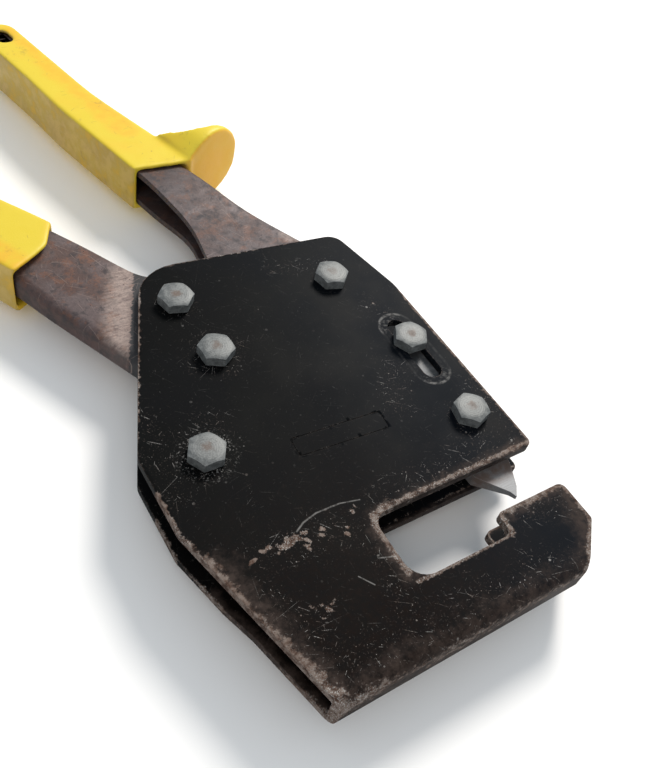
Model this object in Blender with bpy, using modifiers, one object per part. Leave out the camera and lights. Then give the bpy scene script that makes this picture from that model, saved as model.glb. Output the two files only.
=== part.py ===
"""Two-handled stud punch: a folded steel body, a lever-driven ram and two sleeved handles.

The tool lies flat. Plan positions are taken from the arm pivot bolt: +X runs along the
throat towards the open mouth, +Y runs from the jaw to the handles, and Z is measured from
the middle of the mechanism. The last step moves the whole tool so that the centre of its
footprint is at the world origin and its lowest point is at Z = 0.
"""

import math

import bmesh
import bpy
from mathutils import Matrix, Vector

MM = 0.001

# Stack through the body, from the middle plane outwards
CORE_HALF = 2.4 * MM          # arm, blade and spacers
SIDE_SHEET = 2.5 * MM         # handle flanges and ram cheeks
BODY_SHEET = 3.0 * MM
GAP = 0.3 * MM                # between neighbouring pieces
FLANGE_IN = CORE_HALF + GAP
FLANGE_OUT = FLANGE_IN + SIDE_SHEET
PLATE_IN = FLANGE_OUT + GAP
PLATE_OUT = PLATE_IN + BODY_SHEET

# Quarter inch bolts
SHANK_R = 3.175 * MM
BOLT_HOLE_R = SHANK_R + GAP
HEX_ACROSS_FLATS = 11.1 * MM
HEAD_H = 4.1 * MM
NUT_H = 5.5 * MM
BOLT_STICK_OUT = 1.2 * MM
HEX_CHAMFER = 0.7 * MM

# Bolt places, and the turn of each hexagon in degrees
HANDLE_TOP = (19.2 * MM, 62.5 * MM, 14)
HANDLE_LOW = (21.1 * MM, 35.7 * MM, 2)
ARM_PIVOT = (0.0, 0.0, 29)
HANDLE_PIVOT = (77.2 * MM, 52.9 * MM, 13)
RAM_AXIS_X = 87.0 * MM
RAM_BOLT_Y = 15.1 * MM
GUIDE_BOLT_Y = -20.7 * MM
RAM_BOLT = (RAM_AXIS_X, RAM_BOLT_Y, 28)
RAM_GUIDE = (RAM_AXIS_X, GUIDE_BOLT_Y, 48)

# Motion of the ram from the pose that is modelled
RAM_UP = 7.4 * MM
RAM_DOWN = 14.2 * MM
SLOT_SIDE_PLAY = 0.4 * MM
SLOT_END_PLAY = 0.35 * MM

# Body outline
BODY_RIGHT = 98.9 * MM
BODY_MOUTH_RIGHT = 99.6 * MM
BODY_SHOULDER_Y = 42.0 * MM
BODY_TOP_RIGHT = (92.2 * MM, 74.0 * MM)
BODY_TOP_LEFT = (13.9 * MM, 81.8 * MM)
BODY_LEFT = -18.8 * MM
BODY_LEFT_HIGH_Y = 7.2 * MM
BODY_LEFT_LOW_Y = -20.5 * MM
FOLD_Y = -83.2 * MM
FOLD_LEFT_X = -3.3 * MM
FOLD_R = 3.6 * MM
JAW_RIGHT = 98.3 * MM
JAW_TOP_Y = -55.8 * MM
JAW_LEFT = 70.8 * MM
JAW_NOSE_Y = -70.5 * MM
THROAT_TOP_Y = -39.8 * MM
THROAT_LOW_Y = -63.4 * MM
THROAT_BACK_X = 34.5 * MM
JOGGLE_HIGH_Y = THROAT_TOP_Y - 1.5 * MM
JOGGLE_LOW_Y = -53.0 * MM
JOGGLE_FACE = CORE_HALF + 0.5 * MM   # inner face of the back sheet beside the jaw

# Spacers and bushes
HANDLE_SPACER_R = 6.0 * MM
PIVOT_BUSH_R = 4.75 * MM
ROLLER_R = 4.5 * MM
ARM_WASHER_R = 8.0 * MM
DRIVE_PIN = (51.9 * MM, 52.9 * MM)
DRIVE_PIN_R = 4.0 * MM
DRIVE_SLOT_PLAY = 0.45 * MM
DRIVE_SLOT_LEFT = 6.6 * MM           # from the pin to the slot's left centre, and to its right one
DRIVE_SLOT_RIGHT = 5.1 * MM
DRIVE_SLOT_DROP = 0.13 * MM          # the slot's middle line below the pin
RAM_SLOT_LEFT = 1.4 * MM             # the same for the roller in the arm's end slot
RAM_SLOT_RIGHT = 1.7 * MM

# Drive arm
ARM_BOSS_R = 13.0 * MM
ARM_BELLY_X = 20.0 * MM
ARM_LUG_WALL = 4.6 * MM
ARM_LUG_R = 8.8 * MM
ARM_LUG_FOOT_Y = 20.0 * MM
ARM_SHOULDER_Y = 40.0 * MM
ARM_END_WALL = 5.0 * MM
ARM_END_LENGTH_LOW = 9.0 * MM        # straight end of the arm, inwards from the ram's axis
ARM_END_LENGTH_HIGH = 11.0 * MM

# Ram
CHEEK_HALF_W = 9.5 * MM
CHEEK_TOP_Y = 22.5 * MM
CHEEK_LOW_Y = -34.7 * MM
BLADE_TOP_Y = 1.5 * MM
BLADE_LEFT_LOW_Y = -39.6 * MM        # where the blade's straight sides end and its point begins
BLADE_RIGHT_LOW_Y = -33.0 * MM
BLADE_TIP_Y = -51.6 * MM
BLADE_TAPER_Y = -38.5 * MM           # below this the blade's back is ground away towards the tip
BLADE_TIP_T = 1.6 * MM
BLADE_TIP_LEAN = 1.6 * MM            # the point stands this far inwards of the ram's axis
BLADE_POINT_MM = [(-0.8, 2.4), (0.0, 0.0), (2.7, 3.3), (5.6, 9.2), (7.4, 13.8)]  # its outline from the tip
RAM_PIN_R = 1.5 * MM
RAM_PIN_Y = -29.0 * MM
RAM_PIN_SPREAD = 7.15 * MM

# Handles and sleeves
CHANNEL_HALF = 8.0 * MM
FIXED_PINCH_Y = (84.0 * MM, 120.0 * MM)     # where each channel opens out behind the body sheets
MOVING_PINCH_Y = (93.0 * MM, 130.0 * MM)    # later, so that the handle closes without meeting the sheets
PINCH_STEPS = 8
SLEEVE_WALL = 2.0 * MM
SLEEVE_EDGE_R = 2.5 * MM
SLEEVE_TIP_WALL = 3.5 * MM
HANG_HOLE_HALF_W = 3.4 * MM
HANG_HOLE_HALF_L = 5.5 * MM
HANG_HOLE_FROM_TIP = 7.0 * MM
GUARD_LEAN = math.radians(5)  # the guard leans towards the handle's tip
GUARD_REACH = 31.0 * MM       # from the sleeve's side to the round leaf's far edge
GUARD_LEAF_R = 16.0 * MM
GUARD_UP = 17.5 * MM
GUARD_DOWN = 15.0 * MM
GUARD_ARC = math.radians(120) # how far round the leaf's arc goes, each way from its far edge
GUARD_T = 3.0 * MM
GUARD_MIDDLE_T = 6.0 * MM
GUARD_ROOT_T = 20.0 * MM
GUARD_BEHIND_FRONT = 0.8 * MM
WEB_STOP_Y = 60.0 * MM        # the moving channel's web ends above the drive arm

# The fixed handle's end between the body sheets, round the two handle bolts
FIXED_END_RIGHT = 10.0 * MM
FIXED_END_ABOVE = 4.0 * MM
FIXED_END_BELOW = 9.7 * MM
FIXED_WEB_LOW_X = 4.6 * MM
FIXED_WEB_BEND = (-2.9 * MM, 45.0 * MM)
FIXED_INNER_BEND = (26.0 * MM, 74.0 * MM)
FIXED_INNER_EXIT = (14.0 * MM, 82.7 * MM)

# The moving handle's end, round the handle pivot and the drive pin
MOVING_END_RIGHT = 12.0 * MM
MOVING_END_BELOW = 11.0 * MM
MOVING_END_LEFT = 10.4 * MM
MOVING_WEB_BEND_ABOVE = 13.0 * MM
MOVING_WEB_EXIT = (80.9 * MM, 81.0 * MM)
MOVING_LIP_EXIT_Y = 82.8 * MM

# Each handle's middle line with its half width, in mm, from the body to the tip
FIXED_LINE = [
    (-9.0, 92.0, 14.3), (-17.3, 107.5, 11.7), (-42.3, 150.8, 8.4), (-55.7, 172.0, 6.8), (-84.0, 216.0, 6.3),
]
MOVING_LINE = [
    (55.7, 104.7, 11.9), (46.8, 133.6, 9.4), (30.6, 185.8, 6.9), (26.0, 208.5, 6.3), (17.0, 249.0, 6.3),
]
# Front edge of each sleeve: (distance along the line, place across from -1 at the open side to 1 at the web)
FIXED_FRONT = [(0.0, -1.2), (0.0, -0.95), (-6.6, -0.25), (-7.2, 0.3), (-7.2, 1.2)]
MOVING_FRONT = [(5.6, -1.2), (-5.6, 1.2)]

CURVE_STEPS = 32
LEAF_STEPS = 24
Z_FAR = 40.0 * MM
X_FAR = 0.3


# ---------------------------------------------------------------- scene and helpers

for old in list(bpy.data.objects):
    bpy.data.objects.remove(old, do_unlink=True)

PARTS = bpy.data.collections.new("stud_punch")
CUTTERS = bpy.data.collections.new("cutters")
bpy.context.scene.collection.children.link(PARTS)
bpy.context.scene.collection.children.link(CUTTERS)


def make_material(name, color, roughness, metallic):
    mat = bpy.data.materials.new(name)
    mat.use_nodes = True
    shader = mat.node_tree.nodes["Principled BSDF"]
    shader.inputs["Base Color"].default_value = (*color, 1.0)
    shader.inputs["Roughness"].default_value = roughness
    shader.inputs["Metallic"].default_value = metallic
    return mat


BLACK_PAINT = make_material("black_paint", (0.012, 0.012, 0.014), 0.38, 0.0)
RUSTY_STEEL = make_material("rusty_steel", (0.16, 0.11, 0.09), 0.6, 0.6)
ZINC = make_material("dull_zinc", (0.42, 0.42, 0.41), 0.42, 0.9)
TOOL_STEEL = make_material("tool_steel", (0.5, 0.5, 0.52), 0.32, 1.0)
DARK_STEEL = make_material("dark_steel", (0.1, 0.1, 0.11), 0.45, 0.8)
YELLOW_VINYL = make_material("yellow_vinyl", (0.85, 0.62, 0.02), 0.45, 0.0)


def rounded_outline(corners, steps_per_turn=28):
    """Points of a closed outline whose corners (x, y, radius) are rounded with arcs."""
    points = []
    count = len(corners)
    for i, (x, y, radius) in enumerate(corners):
        here = Vector((x, y))
        back = Vector(corners[i - 1][:2]) - here
        ahead = Vector(corners[(i + 1) % count][:2]) - here
        half = back.angle(ahead) / 2
        if radius < 0.05 * MM or half > math.radians(89.5):
            points.append(here)
            continue
        reach = min(radius / math.tan(half), 0.49 * back.length, 0.49 * ahead.length)
        radius = reach * math.tan(half)
        start = here + back.normalized() * reach
        centre = here + (back.normalized() + ahead.normalized()).normalized() * radius / math.sin(half)
        turn = math.pi - 2 * half
        side = 1 if back.x * ahead.y - back.y * ahead.x < 0 else -1
        steps = max(2, round(steps_per_turn * turn / (2 * math.pi)))
        arm = start - centre
        for k in range(steps + 1):
            angle = side * turn * k / steps
            c, s = math.cos(angle), math.sin(angle)
            points.append(centre + Vector((arm.x * c - arm.y * s, arm.x * s + arm.y * c)))
    return points


def add_object(name, mesh, mat, collection=PARTS):
    obj = bpy.data.objects.new(name, mesh)
    collection.objects.link(obj)
    if mat:
        mesh.materials.append(mat)
    if collection is CUTTERS:
        obj.hide_render = True
        obj.display_type = "WIRE"
    return obj


def outline_solid(name, outline, low, high, mat=None, place=None, collection=PARTS):
    """A flat outline given thickness from low to high, as a mesh. place turns it in space."""
    curve = bpy.data.curves.new(name, "CURVE")
    curve.dimensions = "2D"
    curve.fill_mode = "BOTH"
    curve.extrude = (high - low) / 2
    spline = curve.splines.new("POLY")
    spline.points.add(len(outline) - 1)
    for point, (x, y) in zip(spline.points, outline):
        point.co = (x, y, 0, 1)
    spline.use_cyclic_u = True
    holder = bpy.data.objects.new(name + "_curve", curve)
    bpy.context.scene.collection.objects.link(holder)
    holder.matrix_world = (place or Matrix.Identity(4)) @ Matrix.Translation((0, 0, (low + high) / 2))
    bpy.context.view_layer.update()
    graph = bpy.context.evaluated_depsgraph_get()
    mesh = bpy.data.meshes.new_from_object(holder.evaluated_get(graph))
    mesh.transform(holder.matrix_world)
    bpy.data.objects.remove(holder, do_unlink=True)
    work = bmesh.new()
    work.from_mesh(mesh)
    bmesh.ops.remove_doubles(work, verts=work.verts, dist=1e-6)
    bmesh.ops.recalc_face_normals(work, faces=work.faces)
    work.to_mesh(mesh)
    work.free()
    return add_object(name, mesh, mat, collection)


ALONG_X = Matrix(((0, 0, 1, 0), (1, 0, 0, 0), (0, 1, 0, 0), (0, 0, 0, 1)))


def side_profile(name, outline, collection=CUTTERS):
    """A (y, z) outline carried right across the tool along X."""
    return outline_solid(name, outline, -X_FAR, X_FAR, place=ALONG_X, collection=collection)


def rod(name, x, y, radius, low, high, mat=None, collection=PARTS, segments=CURVE_STEPS):
    """A round bar standing along Z."""
    work = bmesh.new()
    bmesh.ops.create_cone(work, cap_ends=True, segments=segments, radius1=radius, radius2=radius,
                          depth=high - low, matrix=Matrix.Translation((x, y, (low + high) / 2)))
    return finish_round(name, work, mat, collection)


def finish_round(name, work, mat, collection=PARTS):
    mesh = bpy.data.meshes.new(name)
    work.to_mesh(mesh)
    work.free()
    mesh.shade_smooth()
    mesh.set_sharp_from_angle(angle=math.radians(35))
    return add_object(name, mesh, mat, collection)


def ring(name, x, y, outer, inner, low, high, mat):
    """A turned tube standing along Z: its section is swept round by a Screw modifier."""
    work = bmesh.new()
    section = [(outer, high), (outer, low), (inner, low), (inner, high)]
    corners = [work.verts.new((r, 0, z)) for r, z in section]
    for a, b in zip(corners, corners[1:] + corners[:1]):
        work.edges.new((a, b))
    obj = finish_round(name, work, mat)
    obj.location = (x, y, 0)
    sweep = obj.modifiers.new("sweep", "SCREW")
    sweep.steps = sweep.render_steps = CURVE_STEPS
    sweep.use_merge_vertices = True
    sweep.merge_threshold = 1e-6
    return obj


def hexagon(name, x, y, turn_deg, low, high, chamfer_top, mat):
    """A hexagonal prism whose upper or lower rim is chamfered."""
    work = bmesh.new()
    corner_r = HEX_ACROSS_FLATS / 2 / math.cos(math.pi / 6)
    place = Matrix.Translation((x, y, (low + high) / 2)) @ Matrix.Rotation(math.radians(turn_deg), 4, "Z")
    bmesh.ops.create_cone(work, cap_ends=True, segments=6, radius1=corner_r, radius2=corner_r,
                          depth=high - low, matrix=place)
    rim_z = high if chamfer_top else low
    rim = [e for e in work.edges if all(abs(v.co.z - rim_z) < 1e-6 for v in e.verts)]
    bmesh.ops.bevel(work, geom=rim, offset=HEX_CHAMFER, offset_type="OFFSET", segments=1,
                    affect="EDGES", profile=0.5, material=-1)
    return finish_round(name, work, mat)


def boolean(target, other, operation):
    step = target.modifiers.new(operation.lower() + "_" + other.name, "BOOLEAN")
    step.operation = operation
    step.solver = "EXACT"
    step.object = other
    return target


def cut(target, *others):
    for other in others:
        boolean(target, other, "DIFFERENCE")
    return target


def slot_outline(x_low, x_high, y_low, y_high):
    """A slot with round ends: its box, with the corners rounded by half of the narrow side."""
    radius = min(x_high - x_low, y_high - y_low) / 2
    box = [(x_low, y_low), (x_high, y_low), (x_high, y_high), (x_low, y_high)]
    return rounded_outline([(x, y, radius) for x, y in box])


def hole_cutter(name, x, y, radius):
    return rod(name + "_cutter", x, y, radius, -Z_FAR, Z_FAR, collection=CUTTERS)


def slot_cutter(name, *box):
    return outline_solid(name + "_cutter", slot_outline(*box), -Z_FAR, Z_FAR, collection=CUTTERS)


# ---------------------------------------------------------------- body

def body_outline():
    """Edge of the folded sheet, seen from above, counter-clockwise from the mouth's upper corner."""
    left_slope = (FOLD_LEFT_X - BODY_LEFT) / (FOLD_Y - BODY_LEFT_LOW_Y)
    below = FOLD_Y - 10 * MM
    left_below = FOLD_LEFT_X + left_slope * (below - FOLD_Y)
    nose_run = JAW_NOSE_Y - below
    return rounded_outline([
        (BODY_MOUTH_RIGHT, THROAT_TOP_Y, 2.5 * MM),
        (BODY_RIGHT, BODY_SHOULDER_Y, 20 * MM),
        (*BODY_TOP_RIGHT, 6 * MM),
        (*BODY_TOP_LEFT, 18 * MM),
        (BODY_LEFT, BODY_LEFT_HIGH_Y, 6 * MM),
        (BODY_LEFT, BODY_LEFT_LOW_Y, 5 * MM),
        (left_below, below, 0),
        (JAW_RIGHT - nose_run, below, 0),
        (JAW_RIGHT, JAW_NOSE_Y, 2 * MM),
        (JAW_RIGHT, JAW_TOP_Y, 2.5 * MM),
        (JAW_LEFT, JAW_TOP_Y, 1.8 * MM),
        (JAW_LEFT, THROAT_LOW_Y, 3 * MM),
        (THROAT_BACK_X, THROAT_LOW_Y, 7 * MM),
        (THROAT_BACK_X, THROAT_TOP_Y, 5 * MM),
    ])


def body_section():
    """Folded sheet in (y, z): front sheet, flat web with rounded bends, joggled back sheet."""
    top = BODY_TOP_LEFT[1] + 10 * MM
    back_in, back_out = -JOGGLE_FACE, -JOGGLE_FACE - BODY_SHEET
    web_in = FOLD_Y + BODY_SHEET
    inner_r = 0.6 * MM
    return rounded_outline([
        (top, PLATE_OUT, 0),
        (FOLD_Y, PLATE_OUT, FOLD_R),
        (FOLD_Y, back_out, FOLD_R),
        (JOGGLE_LOW_Y, back_out, 3 * MM),
        (JOGGLE_HIGH_Y, -PLATE_OUT, 3 * MM),
        (top, -PLATE_OUT, 0),
        (top, -PLATE_IN, 0),
        (JOGGLE_HIGH_Y, -PLATE_IN, 3 * MM),
        (JOGGLE_LOW_Y, back_in, 3 * MM),
        (web_in, back_in, inner_r),
        (web_in, PLATE_IN, inner_r),
        (top, PLATE_IN, 0),
    ], steps_per_turn=24)


def build_body():
    body = side_profile("body_plate", body_section(), collection=PARTS)
    body.data.materials.append(BLACK_PAINT)
    edge = outline_solid("body_edge_cutter", body_outline(), -Z_FAR, Z_FAR, collection=CUTTERS)
    boolean(body, edge, "INTERSECT")
    for label, (x, y, _) in BOLTS.items():
        if label != "ram":
            cut(body, hole_cutter("body_" + label, x, y, BOLT_HOLE_R))
    half = SHANK_R + SLOT_SIDE_PLAY
    end = SHANK_R + SLOT_END_PLAY
    cut(body, slot_cutter("body_ram_slot", RAM_AXIS_X - half, RAM_AXIS_X + half,
                          RAM_BOLT_Y - RAM_DOWN - end, RAM_BOLT_Y + RAM_UP + end))
    return body


# ---------------------------------------------------------------- bolts, nuts, spacers

BOLTS = {
    "handle_top": HANDLE_TOP,
    "handle_low": HANDLE_LOW,
    "arm_pivot": ARM_PIVOT,
    "handle_pivot": HANDLE_PIVOT,
    "ram": RAM_BOLT,
    "ram_guide": RAM_GUIDE,
}


def build_bolt(label, x, y, turn):
    under_head = PLATE_OUT + GAP
    foot = -(PLATE_OUT + GAP + NUT_H + BOLT_STICK_OUT)
    bolt = hexagon("bolt_" + label, x, y, turn, under_head, under_head + HEAD_H, True, ZINC)
    shank = rod("shank_" + label + "_cutter", x, y, SHANK_R, foot, under_head + HEAD_H / 2,
                collection=CUTTERS, segments=24)
    boolean(bolt, shank, "UNION")
    return bolt


def build_nut(label, x, y, turn):
    top = -(PLATE_OUT + GAP)
    nut = hexagon("nut_" + label, x, y, turn + 17, top - NUT_H, top, False, ZINC)
    return cut(nut, rod("nut_" + label + "_hole_cutter", x, y, BOLT_HOLE_R, -Z_FAR, Z_FAR,
                        collection=CUTTERS, segments=24))


def spacer(name, spot, outer, half_length, mat):
    """A tube round a bolt, centred on the middle plane."""
    return ring(name, *spot[:2], outer, BOLT_HOLE_R, -half_length, half_length, mat)


def build_spacers():
    frame_parts = [
        spacer("handle_spacer_top", HANDLE_TOP, HANDLE_SPACER_R, CORE_HALF, ZINC),
        spacer("handle_spacer_low", HANDLE_LOW, HANDLE_SPACER_R, CORE_HALF, ZINC),
        spacer("arm_bush", ARM_PIVOT, PIVOT_BUSH_R, FLANGE_OUT, TOOL_STEEL),
        spacer("handle_bush", HANDLE_PIVOT, PIVOT_BUSH_R, FLANGE_OUT, TOOL_STEEL),
        spacer("guide_roller", RAM_GUIDE, ROLLER_R, FLANGE_OUT, TOOL_STEEL),
    ]
    for label, low in (("front", FLANGE_IN), ("back", -FLANGE_OUT)):
        frame_parts.append(ring("arm_washer_" + label, *ARM_PIVOT[:2], ARM_WASHER_R, PIVOT_BUSH_R + GAP,
                                low, low + SIDE_SHEET, ZINC))
    ram_parts = [spacer("ram_roller", RAM_BOLT, ROLLER_R, CORE_HALF, TOOL_STEEL)]
    return frame_parts, ram_parts


# ---------------------------------------------------------------- arm and ram

def build_arm():
    """Flat lever: boss on the arm pivot, lug with the drive slot, end slot round the ram roller."""
    slot_half = DRIVE_PIN_R + DRIVE_SLOT_PLAY
    end_half = ROLLER_R + DRIVE_SLOT_PLAY
    slot_left = DRIVE_PIN[0] - DRIVE_SLOT_LEFT - slot_half
    slot_right = DRIVE_PIN[0] + DRIVE_SLOT_RIGHT + slot_half
    slot_y = DRIVE_PIN[1] - DRIVE_SLOT_DROP
    lug_left = slot_left - ARM_LUG_WALL
    lug_right = slot_right + ARM_LUG_WALL
    lug_top = slot_y + slot_half + ARM_LUG_WALL
    end_right = RAM_AXIS_X + RAM_SLOT_RIGHT + end_half + 0.6 * ARM_END_WALL
    end_low = RAM_BOLT_Y - end_half - ARM_END_WALL
    end_high = RAM_BOLT_Y + end_half + ARM_END_WALL
    outline = rounded_outline([
        (-ARM_BOSS_R, -ARM_BOSS_R, ARM_BOSS_R),
        (ARM_BELLY_X, -ARM_BOSS_R, 30 * MM),
        (RAM_AXIS_X - ARM_END_LENGTH_LOW, end_low, 10 * MM),
        (end_right, end_low, 7 * MM),
        (end_right, end_high, 7 * MM),
        (RAM_AXIS_X - ARM_END_LENGTH_HIGH, end_high, 10 * MM),
        (lug_right, ARM_SHOULDER_Y, 12 * MM),
        (lug_right, lug_top, ARM_LUG_R),
        (lug_left, lug_top, ARM_LUG_R),
        (lug_left, ARM_LUG_FOOT_Y, 14 * MM),
        (ARM_BOSS_R, ARM_BOSS_R, 10 * MM),
        (-ARM_BOSS_R, ARM_BOSS_R, ARM_BOSS_R),
    ])
    arm = outline_solid("drive_arm", outline, -CORE_HALF, CORE_HALF, DARK_STEEL)
    return cut(
        arm,
        hole_cutter("arm_boss", *ARM_PIVOT[:2], PIVOT_BUSH_R + GAP),
        slot_cutter("drive_slot", slot_left, slot_right, slot_y - slot_half, slot_y + slot_half),
        slot_cutter("ram_end_slot", RAM_AXIS_X - RAM_SLOT_LEFT - end_half,
                    RAM_AXIS_X + RAM_SLOT_RIGHT + end_half, RAM_BOLT_Y - end_half, RAM_BOLT_Y + end_half),
    )


def ram_cutters():
    """The long slot for the guide roller and the two pin holes, which cheeks and blade share."""
    half = ROLLER_R + GAP
    slot = slot_cutter("ram_guide_slot", RAM_AXIS_X - half, RAM_AXIS_X + half,
                       GUIDE_BOLT_Y - RAM_UP - half, GUIDE_BOLT_Y + RAM_DOWN + half)
    pins = [hole_cutter(f"ram_pin_{i}", x, RAM_PIN_Y, RAM_PIN_R + GAP)
            for i, x in enumerate(ram_pin_places())]
    return [slot, *pins]


def ram_pin_places():
    return [RAM_AXIS_X - RAM_PIN_SPREAD, RAM_AXIS_X + RAM_PIN_SPREAD]


def build_ram():
    shared = ram_cutters()
    left, right = RAM_AXIS_X - CHEEK_HALF_W, RAM_AXIS_X + CHEEK_HALF_W
    cheek = rounded_outline([
        (left, CHEEK_LOW_Y, 2 * MM),
        (right, CHEEK_LOW_Y, 2 * MM),
        (right, CHEEK_TOP_Y, 6 * MM),
        (left, CHEEK_TOP_Y, 6 * MM),
    ])
    bolt_hole = hole_cutter("ram_bolt_hole", *RAM_BOLT[:2], BOLT_HOLE_R)
    front = outline_solid("ram_cheek_front", cheek, FLANGE_IN, FLANGE_OUT, DARK_STEEL)
    back = outline_solid("ram_cheek_back", cheek, -FLANGE_OUT, -FLANGE_IN, DARK_STEEL)
    cut(front, bolt_hole, *shared)
    cut(back, bolt_hole, *shared)
    tip_x = RAM_AXIS_X - BLADE_TIP_LEAN
    point = [(tip_x + x * MM, BLADE_TIP_Y + y * MM, 0) for x, y in BLADE_POINT_MM]
    blade = outline_solid("punch_blade", rounded_outline([
        (left, BLADE_TOP_Y, 1 * MM),
        (left - 0.4 * MM, BLADE_LEFT_LOW_Y, 0),
        *point,
        (right, BLADE_RIGHT_LOW_Y, 0),
        (right, BLADE_TOP_Y, 1 * MM),
    ]), -CORE_HALF, CORE_HALF, TOOL_STEEL)
    back_of_tip = CORE_HALF - BLADE_TIP_T
    taper = side_profile("blade_taper_cutter", [
        Vector((BLADE_TAPER_Y, -CORE_HALF)),
        Vector((BLADE_TIP_Y, back_of_tip)),
        Vector((BLADE_TIP_Y - 5 * MM, back_of_tip)),
        Vector((BLADE_TIP_Y - 5 * MM, -Z_FAR)),
        Vector((BLADE_TAPER_Y, -Z_FAR)),
    ])
    cut(blade, taper, *shared)
    pins = [rod(f"ram_rivet_{i + 1}", x, RAM_PIN_Y, RAM_PIN_R, -FLANGE_OUT, FLANGE_OUT, ZINC, segments=16)
            for i, x in enumerate(ram_pin_places())]
    return [front, back, blade, *pins]


# ---------------------------------------------------------------- handles

class Line:
    """A handle's middle line. web_side is 1 where the channel's web is on its left, -1 on its right."""

    def __init__(self, stations, web_side):
        self.points = [Vector((x * MM, y * MM)) for x, y, _ in stations]
        self.halves = [half * MM for _, _, half in stations]
        self.web_side = web_side

    def along(self, i):
        before = self.points[max(i - 1, 0)]
        after = self.points[min(i + 1, len(self.points) - 1)]
        return (after - before).normalized()

    def across(self, i):
        direction = self.along(i)
        return Vector((-direction.y, direction.x)) * self.web_side

    def edge(self, towards_web, extra=0.0, first=0, tip_extra=0.0):
        """Points of one edge, extra wider than the channel, longer at the tip by tip_extra."""
        side = 1 if towards_web else -1
        last = len(self.points) - 1
        points = []
        for i in range(first, last + 1):
            reach = self.along(i) * tip_extra if i == last else Vector((0, 0))
            points.append(self.points[i] + reach + self.across(i) * side * (self.halves[i] + extra))
        return points

    def local(self, i, ahead, share, extra):
        """A point given by distance along the line at station i and share of the half width."""
        half = self.halves[i] + extra
        return self.points[i] + self.along(i) * ahead + self.across(i) * share * half


FIXED = Line(FIXED_LINE, 1)
MOVING = Line(MOVING_LINE, -1)


def channel_section(half_wide, half_pinched, pinch_y):
    """(y, z) outline of a channel, pinched between the body sheets and opening out in an S behind them."""
    start, end = pinch_y
    upper = [(-X_FAR, half_pinched)]
    for k in range(PINCH_STEPS + 1):
        share = (1 - math.cos(math.pi * k / PINCH_STEPS)) / 2
        y = start + (end - start) * k / PINCH_STEPS
        upper.append((y, half_pinched + (half_wide - half_pinched) * share))
    upper.append((X_FAR, half_wide))
    return [(y, -z) for y, z in upper] + upper[::-1]


def smoothed(points, radius=150 * MM):
    return [(p.x, p.y, radius) for p in points]


def hang_hole(name, line, extra):
    last = len(line.points) - 1
    centre = line.points[last] - line.along(last) * HANG_HOLE_FROM_TIP
    half_w, half_l = HANG_HOLE_HALF_W + extra, HANG_HOLE_HALF_L + extra
    turn = line.along(last).angle_signed(Vector((0, 1)))
    place = Matrix.Translation((*centre, 0)) @ Matrix.Rotation(turn, 4, "Z")
    return outline_solid(name + "_cutter", slot_outline(-half_w, half_w, -half_l, half_l), -Z_FAR, Z_FAR,
                         place=place, collection=CUTTERS)


def build_channel(name, line, body_end, web_end, pinch_y, holes):
    """A channel handle: a block with the outer section, whose open inside is then cut away.

    body_end holds the rounded corners between the body sheets, from the web round to the open side,
    and web_end is the lowest point of the web's outer face."""
    far = 2 * CHANNEL_HALF
    lip, web = line.edge(False), line.edge(True)
    corners = [*body_end, *smoothed(lip)[:-1], (*lip[-1], 3 * MM), (*web[-1], 3 * MM), *smoothed(web)[-2::-1]]
    handle = outline_solid(name, rounded_outline(corners, 60), -far, far, RUSTY_STEEL)
    outer = side_profile(name + "_outer_cutter", channel_section(CHANNEL_HALF, FLANGE_OUT, pinch_y))
    boolean(handle, outer, "INTERSECT")
    face = line.edge(True, -SIDE_SHEET, tip_extra=20 * MM)
    foot = Vector(web_end) - line.across(0) * SIDE_SHEET
    open_far = -line.across(0) * 80 * MM
    room = [foot, *face, face[-1] + open_far, Vector((foot.x, -60 * MM)) + open_far,
            Vector((foot.x, -60 * MM)) - open_far, Vector(web_end) - open_far]
    if line.web_side < 0:
        room = room[::-1]
    inside = outline_solid(name + "_inside_cutter", rounded_outline([(*p, 0) for p in room]),
                           -far, far, collection=CUTTERS)
    inner = side_profile(name + "_inner_cutter",
                         channel_section(CHANNEL_HALF - SIDE_SHEET, FLANGE_IN, pinch_y))
    boolean(inside, inner, "INTERSECT")
    cut(handle, inside, hang_hole(name + "_hang_hole", line, GAP))
    return cut(handle, *[hole_cutter(f"{name}_{i}", x, y, r) for i, (x, y, r) in enumerate(holes)])


def build_fixed_handle():
    right = HANDLE_LOW[0] + FIXED_END_RIGHT
    low = HANDLE_LOW[1] - FIXED_END_BELOW
    web_low = (FIXED_WEB_LOW_X, low)
    body_end = [(*FIXED_WEB_BEND, 0), (*web_low, 3 * MM), (right, low, 8 * MM),
                (right, HANDLE_TOP[1] + FIXED_END_ABOVE, 6 * MM), (*FIXED_INNER_BEND, 6 * MM),
                (*FIXED_INNER_EXIT, 20 * MM)]
    holes = [(*HANDLE_TOP[:2], BOLT_HOLE_R), (*HANDLE_LOW[:2], BOLT_HOLE_R)]
    web_end = (web_low[0] + 0.2 * MM, low - 0.5 * MM)
    return build_channel("fixed_handle", FIXED, body_end, web_end, FIXED_PINCH_Y, holes)


def build_moving_handle():
    x, y = HANDLE_PIVOT[:2]
    right = x + MOVING_END_RIGHT
    low = y - MOVING_END_BELOW
    left = DRIVE_PIN[0] - MOVING_END_LEFT
    body_end = [(*MOVING_WEB_EXIT, 20 * MM), (right, y + MOVING_WEB_BEND_ABOVE, 12 * MM),
                (right, low, 10 * MM), (left, low, 9 * MM), (left, MOVING_LIP_EXIT_Y, 20 * MM)]
    holes = [(x, y, PIVOT_BUSH_R + GAP), (*DRIVE_PIN, DRIVE_PIN_R + GAP)]
    return build_channel("moving_handle", MOVING, body_end, (right, WEB_STOP_Y), MOVING_PINCH_Y, holes)


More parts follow.
